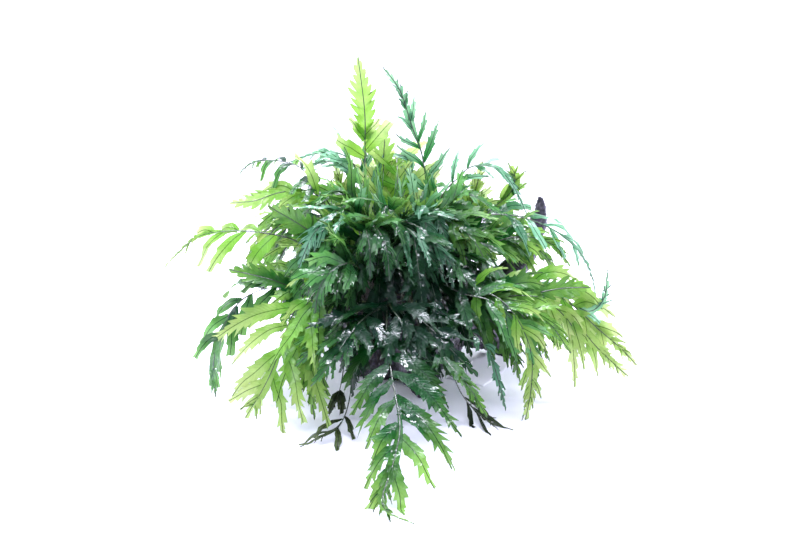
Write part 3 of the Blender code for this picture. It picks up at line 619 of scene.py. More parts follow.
def lay_out(leaf, length):
    """Where along the rachis the solid's rows are, and which of them carry a pair of pinnae."""
    bare = leaf.bare * length
    tip_start = length - leaf.tip
    spacing = (tip_start - bare) / leaf.pairs
    spans = max(1, round(bare / 44))
    stations = [0] + [FOOT + (bare - FOOT) * k / spans for k in range(spans)]
    roots = []
    for k in range(leaf.pairs):
        start = bare + k * spacing
        roots.append(len(stations))
        stations += [start, start + 0.5 * min(spacing, leaf.width * 1.5)]
    stations += [tip_start, tip_start + 0.36 * leaf.tip, tip_start + 0.7 * leaf.tip, length]
    return Layout(length, tip_start, leaf.tip_width, stations, roots)


def half_width(layout, distance):
    """Half the strip's width: a stalk that thins, then the lobed tip of the blade."""
    if distance <= layout.tip_start:
        return STALK * (1 - 0.45 * distance / layout.length) / 2
    share = (distance - layout.tip_start) / (layout.length - layout.tip_start)
    return layout.tip_width / 2 * math.sin(math.pi * share ** 0.75) ** 0.8


def above_ground(rows):
    """The rows with no point lower than a blade may lie."""
    return [[Vector((p.x, p.y, max(p.z, LOWEST))) for p in row] for row in rows]


def strip_rows(leaf, path, layout):
    """The rachis strip's rows, which end in the lobed tip."""
    rows = []
    for distance in layout.stations[:-1]:
        place, _, across, _ = path.frame(distance, leaf.face)
        half = across * half_width(layout, distance)
        rows.append([place - half, place + half])
    rows.append([path.at(layout.length)])
    return above_ground(rows)


def pinna_size(leaf, rise, share):
    """A pinna's length: the middle ones are the longest."""
    return leaf.pinna * (0.84 + 0.3 * rise - 0.58 * rise * rise) * share


def pinna_way(leaf, path, distance, side, angle, lift):
    """A pinna's heading, its heading farther out where it droops, and the way across it."""
    _, ahead, across, up = path.frame(distance, leaf.face)
    raised = math.radians(lift)
    flat = across * side * math.cos(raised) + up * math.sin(raised)
    heading = ahead * math.cos(angle) + flat * math.sin(angle)
    onward = (heading + ahead * 0.22 - Vector((0, 0, 0.3))).normalized()
    over = heading.cross(flat.cross(ahead)).normalized()
    if over.dot(ahead) > 0:
        over = -over
    return heading, onward, over


def pinna_rows(leaf, path, layout, pair, side, swing, lift, share):
    """A pinna's rows: its root on the rachis, its widest row and its tip."""
    start, end = layout.stations[layout.roots[pair]:layout.roots[pair] + 2]
    roots = []
    for distance in (start, end):
        place, _, across, _ = path.frame(distance, leaf.face)
        roots.append(place + across * side * half_width(layout, distance))
    rise = pair / max(1, leaf.pairs - 1)
    size = pinna_size(leaf, rise, share)
    size *= 1 + vary(f"{leaf.name} {pair} {side} size", 0.14)
    lean = leaf.lean * (1.12 - 0.3 * rise) + vary(f"{leaf.name} {pair} {side} lean", 7)
    angle = math.radians(lean + swing)
    heading, onward, over = pinna_way(leaf, path, (start + end) / 2, side, angle, lift)
    middle = (roots[0] + roots[1]) / 2 + heading * size * 0.46
    wide = min(leaf.width, 1.6 * (end - start) * math.sin(angle))
    spread = [middle + over * wide / 2, middle - over * wide / 2]
    return above_ground([roots, spread, [middle + onward * size * 0.54]])


def grow_rachis(leaf, thicket, free):
    """Finds a free slot on a rhizome and a clear way out from it to the frond's route."""
    for slot in sorted(free, key=lambda slot: (slot[0] - Vector(leaf.route[0])).length):
        place, ahead = slot
        aim = Vector(leaf.route[1]) - place
        outward = (place - crown_middle(place.x)[0]).normalized()
        launch = (aim - ahead * aim.dot(ahead)).normalized() + outward * 0.9
        launch = (launch - ahead * launch.dot(ahead)).normalized()
        start = place + launch * (RHIZOME_RADIUS + 2 * GAP)
        far = Vector(leaf.route[-1]) - place
        side = Vector((-far.y, far.x, 0)).normalized()
        for sway, rise in SWERVES:
            route = [start, start + launch * FOOT]
            for k, point in enumerate(leaf.route[1:], 1):
                weight = math.sin(math.pi * k / len(leaf.route))
                route.append(Vector(point) + side * sway * weight + Vector((0, 0, rise * weight)))
            path = Path(route)
            layout = lay_out(leaf, path.length)
            rows = strip_rows(leaf, path, layout)
            if thicket.has_room(rows, leaf.name) and thicket.open_air(rows):
                free.remove(slot)
                return path, layout, rows
    return None


def pinna_choices(leaf, path, layout, thicket):
    """For each side, the way that each of the solid's pinnae grows: the first that finds room, or none."""
    chosen = {1: [], -1: []}
    for pair in range(leaf.pairs):
        for side in (1, -1):
            for way in PINNA_TRIES:
                pinna = pinna_rows(leaf, path, layout, pair, side, *way)
                if thicket.has_room(pinna, leaf.name) and thicket.open_air(pinna):
                    flat = [p for row in pinna for p in row]
                    thicket.add(flat, [(0, 2, 3, 1), (2, 4, 3)], leaf.name)
                    break
            else:
                way = None
            chosen[side].append(way)
    return chosen


thicket = Thicket()
free = slots()
grown = []
for leaf in FRONDS + [closing_frond(*row) for row in CLOSING]:
    path, layout, rows = grow_rachis(leaf, thicket, free)
    thicket.add(*sheet(rows), leaf.name)
    grown.append((leaf, path, layout))
grown = [(leaf, path, layout, pinna_choices(leaf, path, layout, thicket)) for leaf, path, layout in grown]

# How the living leaf differs from its plain solid: more pinnae, each a wavy blade with toothed margins.
PINNA_STEP = (14, 0.13)
STALK_RADII = (1, 0.3)
TOOTH = 6.2
STRAP_TOOTH = 11
TOOTH_DEPTHS = {"lime": 0.46, "fresh": 0.52, "deep": 0.5, "blue": 0.46, "old": 0.3}
STRAP_DEPTH = 0.3
LOBE = 6.8
TOOTH_SHAPE = (0, 0.4, 1)
LOBE_SHAPE = (0, 0.72, 1, 0.85)
COLUMNS = (-1, -0.55, 0, 0.55, 1)

# What single leaves have of their own: how much lighter their skin is, how wide their pinnae are, how far
# these spread and droop and how long they are on either side, and whether they are straps with few teeth. On
# the fronds that lie low in front, under the others, the darker skin is painted shade.
Habit = namedtuple(
    "Habit", "shade width spread limp lengths strap", defaults=(None, None, 1, None, (1, 1), False),
)
HABITS = {
    "old_frond_left": Habit(shade=0.5, width=0.8, lengths=(1.2, 1.2), strap=True),
    "old_frond_left_small": Habit(shade=0.3, strap=True),
    "old_frond_right": Habit(shade=-0.4, width=0.65, lengths=(1.8, 1.8), strap=True),
    "frond_upright_lime": Habit(shade=-0.35, lengths=(0.8, 0.85), strap=True),
    "frond_upright_blue": Habit(lengths=(1.1, 0.9)),
    "frond_front_centre": Habit(shade=-0.5, lengths=(0.8, 1.05)),
    "frond_front_left_lime": Habit(shade=-0.3, width=1.2, spread=1.45, limp=0.45, lengths=(1.15, 1.4)),
    "frond_front_left_strap": Habit(shade=0.9),
    "frond_left_pale": Habit(shade=-0.5, width=1.35, limp=1.8, lengths=(0.65, 1.25), strap=True),
    "frond_left_lime": Habit(shade=-0.3, width=1.1, spread=1.15, lengths=(1.25, 1.15)),
    "frond_left_dark_arch": Habit(shade=-0.5, limp=3.5, lengths=(0.9, 1.8), strap=True),
    "frond_left_broad": Habit(shade=-0.3),
    "frond_left_middle": Habit(shade=-0.3),
    "frond_left_hanging": Habit(shade=-0.1, width=1.5, spread=1.25, limp=2.2, strap=True),
    "frond_right_arch_wide": Habit(strap=True),
    "frond_right_long": Habit(shade=1.1),
    "frond_right_low": Habit(spread=1.15, limp=2.3, lengths=(1.1, 0.8)),
    "frond_right_hook": Habit(shade=0.4, limp=0.4, strap=True),
    "frond_right_under": Habit(shade=0.5),
    "frond_top_middle_lime": Habit(shade=-0.3),
    "frond_right_spiky": Habit(lengths=(0.7, 0.7)),
    # Painted shade: these low fronds in front lie under the others, so their skin is darkened.
    "frond_front_right_dark": Habit(shade=-0.6),
    "frond_front_right_low": Habit(shade=-0.4, lengths=(0.55, 0.45)),
    "frond_front_left_dark": Habit(shade=-0.5),
    "frond_right_drip": Habit(shade=1.2, lengths=(0.55, 0.55), strap=True),
    # Painted shade too: these two lie low in front, under the others.
    "frond_front_1": Habit(shade=-0.4),
    "frond_front_3": Habit(shade=-0.5),
}
Form = namedtuple("Form", "key tooth shape even fold ruffle twist rise shade ripe")


class Growth:
    """The points and faces of one leaf, with what its skin reads at each point."""

    def __init__(self):
        self.points, self.faces, self.blade, self.look, self.stalk_faces = [], [], [], [], 0

    def put(self, points, faces, blade, look):
        first = len(self.points)
        self.points += points
        self.faces += [tuple(i + first for i in face) for face in faces]
        self.blade += blade
        self.look += look


def ease(low, high, value):
    """A smooth step from 0 at the low value to 1 at the high one."""
    share = min(max((value - low) / (high - low), 0), 1)
    return share * share * (3 - 2 * share)


def grow_blade(growth, spine, start, over, reach, depth, form):
    """A blade along a line. Its half width and its teeth's depth follow from the share of its length."""
    luck = random.Random(form.key)
    rows_per_tooth = len(form.shape)
    teeth = max(3, round((spine.length - start) / form.tooth))
    marks = [0]
    for _ in range(teeth):
        step = luck.uniform(0.7, 1.3) / rows_per_tooth
        marks += [marks[-1] + step * (k + 1) for k in range(rows_per_tooth)]
    even = 0.85 * form.even
    uneven = 1 - form.even
    sizes = [
        [even + uneven * (1.5 * luck.random() ** 1.2 + 0.2) for _ in range(teeth + 2)] for _ in range(2)
    ]
    curls = [[luck.uniform(-1, 1) for _ in range(teeth + 2)] for _ in range(2)]
    phases = [luck.uniform(0, 6.3) for _ in range(2)]
    points, blade, looks = [], [], []
    for row, mark in enumerate(marks):
        t = mark / marks[-1]
        distance = start + (spine.length - start) * t
        place, ahead = spine.at(distance), spine.along(distance)
        flat = (over - ahead * over.dot(ahead)).normalized()
        up = flat.cross(ahead)
        turn = form.twist * t
        across = flat * math.cos(turn) + up * math.sin(turn)
        lift = up * math.cos(turn) - flat * math.sin(turn)
        half, bite = max(reach(t), 0.2), depth(t)
        for column in COLUMNS:
            side = 1 if column > 0 else 0
            number, step = divmod(row + 2 * side, rows_per_tooth)
            rise = form.shape[step] * sizes[side][number]
            margin = half * (1 - bite + bite * rise)
            share = abs(column)
            wave = math.sin(distance / 3.9 + phases[side]) + 0.6 * math.sin(distance / 1.8 + phases[1 - side])
            if share == 1:
                out = margin
                forward = (0.7 + 0.9 * t) * bite * rise * half
                height = form.ruffle * wave * min(1, half / 5) + 0.9 * curls[side][number] * rise * bite
            else:
                out = share * (0.6 * half * (1 - bite) + 0.4 * margin)
                forward = 0.4 * share * bite * rise * half
                height = 0.3 * share * form.ruffle * wave * min(1, half / 5)
            height += form.fold * out
            point = place + ahead * forward + across * math.copysign(out, column) + lift * height
            point.z = max(point.z, 0.5)
            points.append(point)
            blade.append((distance - start, out, margin))
            looks.append((t * form.ripe, form.rise, form.shade))
    width = len(COLUMNS)
    corners = [k * width + column for k in range(len(marks) - 1) for column in range(width - 1)]
    growth.put(points, [(c, c + 1, c + width + 1, c + width) for c in corners], blade, looks)


def grow_stalk(growth, path, thick, thin):
    """The round wiry stalk, thick at its foot and thin at the tip."""
    sides = 6
    count = round(path.length / 4)
    points = []
    for k in range(count + 1):
        place, _, across, up = path.frame(path.length * k / count, (0.1, 0.3, 0.95))
        radius = thick + (thin - thick) * (k / count) ** 0.7
        for j in range(sides):
            angle = 2 * math.pi * j / sides
            point = place + across * radius * math.cos(angle) + up * radius * (math.sin(angle) - 0.4)
            point.z = max(point.z, 0.3)
            points.append(point)
    faces = [tuple(range(sides))[::-1], tuple(range(count * sides, (count + 1) * sides))]
    for k in range(count * sides):
        after = k + 1 if (k + 1) % sides else k + 1 - sides
        faces.append((k, after, after + sides, k + sides))
    growth.put(points, faces, [(0, 0, 1)] * len(points), [(0, 0, 0.5)] * len(points))
    growth.stalk_faces = len(faces)


def pinna_reach(half, adnate, blunt):
    """A pinna's half width by the share of its length: narrow at its root and widest beyond its middle."""
    def reach(t):
        foot = 0.34 + 0.5 * adnate
        body = foot + (1 - foot) * math.sin(math.pi / 2 * min(1, t / 0.5)) ** 1.3
        return half * body * (1 - (0.95 - blunt) * ease(0.5, 1.15, t) / ease(0.5, 1.15, 1))
    return reach


def grow_pinna(growth, leaf, path, layout, distance, side, key, ways, lobe=0):
    """One pinna, set like the nearest ones of the solid and as long, or a lobe of the size given."""
    habit = HABITS.get(leaf.name, Habit())
    bare = leaf.bare * path.length
    spacing = (layout.tip_start - bare) / leaf.pairs
    pair = (distance - bare) / spacing - 0.25
    low = min(max(math.floor(pair), 0), leaf.pairs - 1)
    high = min(low + 1, leaf.pairs - 1)
    blend = min(max(pair - low, 0), 1)
    near, far = (ways[i] or (0, 8, 0.6) for i in (low, high))
    swing, lift, share = (a + (b - a) * blend for a, b in zip(near, far))
    share = (0.5 + 0.5 * share) * habit.lengths[0 if side > 0 else 1]
    rise = min(max(pair / max(1, leaf.pairs - 1), -0.2), 1.2)
    size = pinna_size(leaf, min(max(rise, 0), 1.1), share)
    size = (lobe or size) * (1 + vary(key + " size", 0.16))
    lean = leaf.lean * habit.spread * (1.12 - 0.3 * rise)
    angle = math.radians(lean + 0.6 * swing + vary(key + " lean", 9))
    heading, _, over = pinna_way(leaf, path, distance, side, angle, 0.5 * lift + vary(key + " lift", 12))
    ahead = path.along(distance)
    limp = habit.limp or (1.4 if leaf.tone == "lime" or habit.strap else 1)
    sag = limp * (1 - 0.75 * max(0, ahead.z)) * (0.5 + vary(key + " sag", 0.25))
    places = [path.at(distance)]
    for k, (forward, fall) in enumerate(((0.0, 0.0), (0.14, 0.4 * sag), (0.24, sag), (0.3, 1.7 * sag))):
        aside = over * vary(f"{key} bend {k}", 0.2)
        onward = (heading + ahead * forward + aside - Vector((0, 0, fall))).normalized()
        places.append(places[-1] + onward * size * 0.27)
    across = over if over.cross(heading).dot(Vector(leaf.face)) > 0 else -over
    half = 0.2 * lobe or 0.5 * leaf.width
    half *= (1 + vary(key + " width", 0.18)) * (1.04 - 0.3 * ease(0.3, 1, rise))
    half *= habit.width or (0.84 if leaf.tone == "blue" else 1)
    lighter = vary(leaf.name + " shade", 0.3) if habit.shade is None else habit.shade
    form = Form(
        key=key, tooth=STRAP_TOOTH if habit.strap else TOOTH * (0.8 + 0.02 * leaf.width), shape=TOOTH_SHAPE,
        even=0.5 if habit.strap else 0, fold=0.05 + vary(key + " fold", 0.3),
        ruffle=1 + vary(key + " ruffle", 0.5), twist=side * vary(key + " twist", 0.8), rise=rise,
        shade=0.5 + lighter + vary(key + " shade", 0.45), ripe=1,
    )
    blunt = 0.5 + vary(key + " blunt", 0.2) if habit.strap else max(0, vary(key + " blunt", 0.4))
    reach = pinna_reach(half, ease(0.5, 1.0, rise), blunt)
    cut = STRAP_DEPTH if habit.strap else TOOTH_DEPTHS[leaf.tone]
    grow_blade(growth, Path(places), 0.2, across, reach, lambda t: 0.1 + cut * ease(0.15, 0.85, t), form)


def grow_frond(leaf, path, layout, chosen):
    """One whole leaf: stalk, pinnae, the narrow wing between them and the lobed tip."""
    habit = HABITS.get(leaf.name, Habit())
    growth = Growth()
    grow_stalk(growth, path, *STALK_RADII)
    bare = leaf.bare * path.length
    leafy = layout.tip_start - bare
    count = max(2, round(leafy / (PINNA_STEP[0] + PINNA_STEP[1] * leaf.pinna)))
    tip_width = leaf.tip_width * (habit.width or 1)
    lobes = round(0.075 * leaf.tip) if leaf.tip_width < 17 else 0
    for side in (1, -1):
        for k in range(count):
            key = f"{leaf.name} {side} {k}"
            distance = bare + (k + 0.35 + 0.2 * side + vary(key, 0.14)) * (leafy / count)
            grow_pinna(growth, leaf, path, layout, distance, side, key, chosen[side])
    for side in (1, -1):
        for k in range(lobes):
            share = (k + 0.3 + 0.2 * side) / lobes
            key = f"{leaf.name} {side} lobe {k}"
            distance = layout.tip_start + 0.62 * share * leaf.tip
            size = tip_width * (1.25 - 0.7 * share)
            grow_pinna(growth, leaf, path, layout, distance, side, key, chosen[side], lobe=size)
    wing_start = bare + 0.4 * leafy
    tip_share = (layout.tip_start - wing_start) / (path.length - wing_start)

    def tip_reach(t):
        if t < tip_share:
            return 0.7 + (0.4 * tip_width - 0.7) * ease(0.1, 1, t / tip_share)
        beyond = (t - tip_share) / (1 - tip_share)
        if lobes:
            body = 0.4 - 0.1 * ease(0, 0.6, beyond)
        else:
            body = 0.42 + 0.16 * ease(0, 0.2, beyond) - 0.26 * ease(0.35, 1, beyond)
        return tip_width * body * (1 - beyond ** (2 + 0.16 * leaf.tip_width)) + 0.3

    _, _, across, _ = path.frame(layout.tip_start, leaf.face)
    form = Form(
        key=leaf.name, tooth=LOBE, shape=LOBE_SHAPE, even=0.55, fold=0.1 + vary(leaf.name + " fold", 0.15),
        ruffle=0.5, twist=vary(leaf.name + " turn", 0.3), rise=0.6, shade=0.5 + 0.8 * (habit.shade or 0),
        ripe=0.75 if lobes else 0.5,
    )
    deep = (0.9 * tip_share, 1.04 * tip_share)
    cut = 0.66 if lobes else 0.52
    grow_blade(growth, path, wing_start, across, tip_reach, lambda t: cut * ease(*deep, t), form)
    return growth


# Fern leaf, thin and wet. Held against the light it glows yellow-green, with its midrib and side veins
# darker and its tips paler. On the lit side the film of water on its furrowed skin gives broken streaks of
# bluish white. Near the heart of the bush the leaves are older, and painted shade darkens them, dries off
# their film of water and lets less light through them, for the leaves around that hold light back.
# Each tone has its skin's colours near the rachis and far out, the same two with light coming through, the
# share of light that comes through, and how dry it is. In the nodes, a map range takes a value, its two ends
# and what these become, and a colour mix takes a share at 0 and two colours at 6 and 7.
VEIN_STEP = 3.4
PATCH = 14
FURROW = 4
STREAK = 2.4
RIPPLE = 7
PUDDLE = 13
HEART = (10, -70, 45)
HEART_SQUASH = (1.35, 0.8, 1)
PALE_TIP = "#dcf0b0"
LEAF_TONES = {
    "leaf_lime": ("#4e8626", "#b2c66c", "#8cbc48", "#c2d498", 0.5, 0.52),
    "leaf_fresh": ("#0c3c16", "#6a9e40", "#2e7a24", "#aece68", 0.4, 0.5),
    "leaf_deep": ("#042a14", "#4c8842", "#1e5a20", "#8cc456", 0.35, 0.42),
    "leaf_blue": ("#185024", "#72aa86", "#3e8c40", "#acd8a4", 0.38, 0.4),
    "old_leaf": ("#222c18", "#52603c", "#34421c", "#788c44", 0.3, 0.46),
}


def leaf_skin(name, near, far, glow_near, glow_far, share, dry):
    """A leaf's skin, from the colours and values of its tone."""
    material, tree = new_material(name)
    blade = add(tree, "Attribute", attribute_name="blade").outputs["Vector"]
    look = add(tree, "Attribute", attribute_name="look").outputs["Vector"]
    along, across, margin = add(tree, "SeparateXYZ", {0: blade}).outputs
    outward, rise, shade = add(tree, "SeparateXYZ", {0: look}).outputs
    place = add(tree, "TexCoord").outputs["Object"]

    # How far off the heart of the bush is, in metres, and the painted shade that follows from that between
    # two
    # distances: a darker skin and glow, fewer wet glints and less light through, most of all in the heart.
    shift = [-MM * middle * squash for middle, squash in zip(HEART, HEART_SQUASH)]
    from_heart = add(tree, "VectorMath", {0: place, 1: HEART_SQUASH, 2: shift}, operation="MULTIPLY_ADD")
    heart = add(tree, "VectorMath", {0: from_heart}, operation="LENGTH")
    heart_shade_and_age = add(tree, "MapRange", {0: heart, 1: 0.05, 2: 0.16, 3: 0.15, 4: 1.2})
    daylight = add(tree, "MapRange", {0: heart, 1: 0.06, 2: 0.13, 3: 0.12, 4: 1})
    shaded_dryness = add(tree, "MapRange", {0: heart, 1: 0.06, 2: 0.13, 3: 0.1, 4: 0})
    shaded_clearness = add(tree, "MapRange", {0: heart, 1: 0.06, 2: 0.14, 3: 0.2 * share, 4: share})

    # How light the blade is: more so towards its tip, higher up the leaf, on lighter leaves and in patches,
    # and less so near the heart, where it is darkened as painted shade and for age.
    patches = add(tree, "TexNoise", {"Vector": place, "Scale": 1 / (PATCH * MM), "Detail": 3})
    farther = add(tree, "MapRange", {0: outward, 1: 0.15, 2: 0.85})
    lightness = -0.3
    for cause, weight in ((shade, 0.4), (farther, 0.55), (rise, 0.3), (patches, 0.5)):
        lightness = add(tree, "Math", {0: cause, 1: weight, 2: lightness}, operation="MULTIPLY_ADD")
    lightness = add(tree, "MapRange", {0: lightness, 1: 0.2, 2: 0.95})
    lightness = add(tree, "Math", {0: lightness, 1: heart_shade_and_age}, operation="MULTIPLY")

    # Midrib, slanting side veins and rim.
    midrib = add(tree, "MapRange", {0: across, 1: 0.2, 2: 0.5, 3: 1, 4: 0})
    slant = add(tree, "Math", {0: across, 1: -1.1, 2: along}, operation="MULTIPLY_ADD")
    fan = add(tree, "Math", {0: slant, 1: VEIN_STEP / 2}, operation="PINGPONG")
    vein = add(tree, "MapRange", {0: fan, 1: 0.1, 2: 0.5, 3: 1, 4: 0})
    inside = add(tree, "Math", {0: margin, 1: across}, operation="SUBTRACT")
    lines = add(tree, "MapRange", {0: inside, 1: 0, 2: 0.5, 3: 0.4, 4: 0})
    for line, weight in ((midrib, 0.8), (vein, 0.1)):
        lines = add(tree, "Math", {0: line, 1: weight, 2: lines}, operation="MULTIPLY_ADD")

    # The skin's own colour, and the colour of the light that comes through. Near the heart both are mixed
    # towards dark as painted shade.
    dark = [0.3 * c for c in linear(near)[:3]] + [1]
    pale = add(tree, "MapRange", {0: outward, 1: 0.75, 2: 1, 3: 0, 4: 0.4})
    skin = add(tree, "Mix", {0: lightness, 6: linear(near), 7: linear(far)}, data_type="RGBA")
    glow = add(tree, "Mix", {0: lightness, 6: linear(glow_near), 7: linear(glow_far)}, data_type="RGBA")
    glow = add(tree, "Mix", {0: pale, 6: glow, 7: linear(PALE_TIP)}, data_type="RGBA")
    skin, glow = [
        add(tree, "Mix", {0: lines, 6: colour, 7: dark}, data_type="RGBA") for colour in (skin, glow)
    ]
    skin, glow = [
        add(tree, "Mix", {0: daylight, 6: dark, 7: colour}, data_type="RGBA") for colour in (skin, glow)
    ]

    # Furrows in the skin, and the film of water over them with its ripples, its streaks and its dry places.
    # Near the heart the film is thinned out, which takes glints away as painted shade.
    grit = add(tree, "TexNoise", {"Vector": place, "Scale": 1 / (FURROW * MM), "Detail": 2})
    furrows = add(tree, "Math", {0: fan, 1: 0.1, 2: grit}, operation="MULTIPLY_ADD")
    skin_relief = add(tree, "Bump", {"Height": furrows, "Strength": 1, "Distance": 0.0006})
    stretched = add(tree, "Math", {0: across, 1: 0.25}, operation="MULTIPLY")
    apart = add(tree, "Math", {0: shade, 1: 40}, operation="MULTIPLY")
    streak_place = add(tree, "CombineXYZ", {0: slant, 1: stretched, 2: apart})
    streaks = add(tree, "TexNoise", {"Vector": streak_place, "Scale": 1 / STREAK, "Detail": 0})
    ripples = add(tree, "TexNoise", {"Vector": place, "Scale": 1 / (RIPPLE * MM), "Detail": 0})
    film = add(tree, "Math", {0: streaks, 1: 0.32, 2: ripples}, operation="MULTIPLY_ADD")
    film_relief = add(tree, "Bump", {"Height": film, "Strength": 1, "Distance": 0.0012})
    puddles = add(tree, "TexNoise", {"Vector": place, "Scale": 1 / (PUDDLE * MM), "Detail": 1})
    water = add(tree, "Math", {0: puddles, 1: shaded_dryness}, operation="SUBTRACT")
    wet = add(tree, "MapRange", {0: water, 1: dry, 2: dry + 0.07, 3: 0.05, 4: 0.75})
    dull = add(tree, "MapRange", {0: patches, 1: 0.35, 2: 0.65, 3: 0.25, 4: 0.4})

    wax = add(tree, "BsdfPrincipled", {
        "Base Color": skin, "Roughness": dull, "Normal": skin_relief, "Specular IOR Level": 0.15,
        "Specular Tint": linear("#d0f4e4"), "IOR": 1.45, "Coat Weight": wet, "Coat Roughness": 0.03,
        "Coat IOR": 1.5, "Coat Normal": film_relief,
    })
    # Near the heart less light comes through the leaf: painted shade.
    through = add(tree, "BsdfTranslucent", {"Color": glow, "Normal": skin_relief})
    both = add(tree, "MixShader", {0: shaded_clearness, 1: wax, 2: through})
    add(tree, "OutputMaterial", {"Surface": both})
    return material


leaf_skins = {name: leaf_skin(name, *tones) for name, tones in LEAF_TONES.items()}

# Frond stalk: wiry and nearly black-green, smooth, with a line of soft gloss that drops of water break up.
STALK_STREAK = 6
STALK_DROP = 3
stalk_skin, tree = new_material("frond_stalk")
place = add(tree, "TexCoord").outputs["Object"]
streaks = add(tree, "TexNoise", {"Vector": place, "Scale": 1 / (STALK_STREAK * MM), "Detail": 2})
tone = add(tree, "Mix", {0: streaks, 6: linear("#10180c"), 7: linear("#2c3f1e")}, data_type="RGBA")
drops = add(tree, "TexNoise", {"Vector": place, "Scale": 1 / (STALK_DROP * MM), "Detail": 0})
relief = add(tree, "Bump", {"Height": drops, "Distance": 0.0008})
stalk_shader = add(tree, "BsdfPrincipled", {
    "Base Color": tone, "Roughness": 0.32, "IOR": 1.45, "Coat Weight": 1, "Coat Roughness": 0.06,
    "Coat IOR": 1.5, "Coat Normal": relief,
})
add(tree, "OutputMaterial", {"Surface": stalk_shader})


def leaf_mesh(name, growths):
    """One mesh of one or more leaves, with what the skin reads stored at its points."""
    points, faces, blade, look, stalk = [], [], [], [], []
    for growth in growths:
        first = len(points)
        points += growth.points
        faces += [tuple(i + first for i in face) for face in growth.faces]
        blade += growth.blade
        look += growth.look
        stalk += [1] * growth.stalk_faces + [0] * (len(growth.faces) - growth.stalk_faces)
    mesh = bpy.data.meshes.new(name)
    mesh.from_pydata(points, [], faces)
    for field, values in (("blade", blade), ("look", look)):
        stored = mesh.attributes.new(field, "FLOAT_VECTOR", "POINT")
        stored.data.foreach_set("vector", numpy.array(values, "f").ravel())
    mesh.polygons.foreach_set("material_index", stalk)
    return mesh


TONE_SLOTS = {
    "lime": "leaf_lime", "fresh": "leaf_fresh", "deep": "leaf_deep", "blue": "leaf_blue", "old": "old_leaf",
}
for leaf, path, layout, chosen in grown:
    growth = grow_frond(leaf, path, layout, chosen)
    slot = TONE_SLOTS[leaf.tone]
    place_piece(leaf.name, leaf_mesh(leaf.name, [growth]), [leaf_skins[slot], stalk_skin], [leaf.name])

# Inner fronds.
# The fern has more leaves than there are named ones. Most of these stand close beside one of those, on the
# same stretch of rhizome, a little shorter and turned a little away from it. A few have routes of their
# own, in the gaps that show in front. They are joined by their tone.
INNER = {
    1: ["frond_centre_fan", "frond_centre_down", "frond_centre_left_gloss", "frond_front_right_dark",
        "frond_front_left_dark", "frond_right_under", "frond_right_middle", "frond_left_middle",
        "frond_left_broad", "frond_top_left_blue", "frond_back_lime_left"],
    3: [row[0] for row in CLOSING],
}
INNER_TURNS = (-14, 14, 0)
INNER_SIZES = (0.84, 0.84, 0.6)

# Those with routes of their own: tone, route, the way the blade faces, and the pinnae's length and width.
MORE_INNER = [
    ("fresh", [(40, -5, 90), (75, -10, 116), (105, -20, 126), (130, -28, 120), (144, -32, 102)],
     (0.3, -0.7, 0.6), 36, 12),
    ("fresh", [(36, 0, 90), (66, 0, 120), (98, -6, 122), (124, -12, 108), (136, -14, 88)],
     (0.3, -0.7, 0.6), 46, 14),
    ("fresh", [(30, -35, 90), (62, -85, 96), (85, -98, 90), (105, -108, 72), (118, -112, 46)],
     (0.2, -0.8, 0.5), 52, 13),
    ("fresh", [(26, -35, 88), (52, -92, 86), (72, -106, 78), (88, -114, 56), (94, -118, 32)],
     (0.1, -0.8, 0.5), 48, 13),
    ("lime", [(42, -25, 88), (90, -52, 92), (124, -66, 80), (144, -72, 58), (152, -76, 34)],
     (0.3, -0.8, 0.5), 40, 13),
    ("lime", [(-34, -32, 86), (-64, -92, 100), (-78, -112, 80), (-84, -122, 52), (-82, -128, 22)],
     (-0.2, -0.9, 0.4), 36, 12),
    ("lime", [(60, -30, 90), (110, -46, 92), (140, -54, 78), (165, -58, 56), (186, -60, 38), (199, -62, 24)],
     (0.2, -0.9, 0.4), 42, 15),
    ("lime", [(26, -34, 88), (60, -90, 100), (84, -112, 92), (100, -128, 64), (101, -136, 36), (97, -138, 8)],
     (0.2, -0.9, 0.4), 38, 11),
    ("deep", [(-12, -36, 84), (-20, -84, 84), (-30, -104, 66), (-36, -112, 42), (-38, -116, 18)],
     (-0.1, -0.9, 0.4), 44, 13),
    ("deep", [(6, -36, 84), (10, -84, 82), (20, -100, 62), (26, -108, 38), (28, -112, 16)],
     (0.1, -0.9, 0.4), 44, 13),
    ("deep", [(20, -34, 84), (36, -80, 88), (46, -98, 78), (52, -108, 64), (56, -112, 50)],
     (0.2, -0.9, 0.4), 42, 13),
    ("fresh", [(16, -4, 96), (30, -24, 138), (46, -44, 142), (64, -60, 126), (74, -70, 100)],
     (0.2, -0.7, 0.6), 50, 14),
    ("blue", [(-20, -10, 98), (-36, -30, 146), (-52, -48, 152), (-70, -62, 138), (-82, -72, 112)],
     (-0.3, -0.7, 0.6), 46, 12),
]
inner_growths = {}
for number, (tone, route, face, pinna, width) in enumerate(MORE_INNER):
    leaf = Frond(f"inner {number}", tone, route, face, 0.3, 4, pinna, width, tip=34, tip_width=13, lean=44)
    path = Path(route)
    chosen = {side: [(0, vary(f"{number} {side} {k}", 20), 1) for k in range(leaf.pairs)] for side in (1, -1)}
    growth = grow_frond(leaf, path, lay_out(leaf, path.length), chosen)
    inner_growths.setdefault(TONE_SLOTS[tone], []).append(growth)
hosts = {leaf.name: (leaf, path) for leaf, path, _, _ in grown}
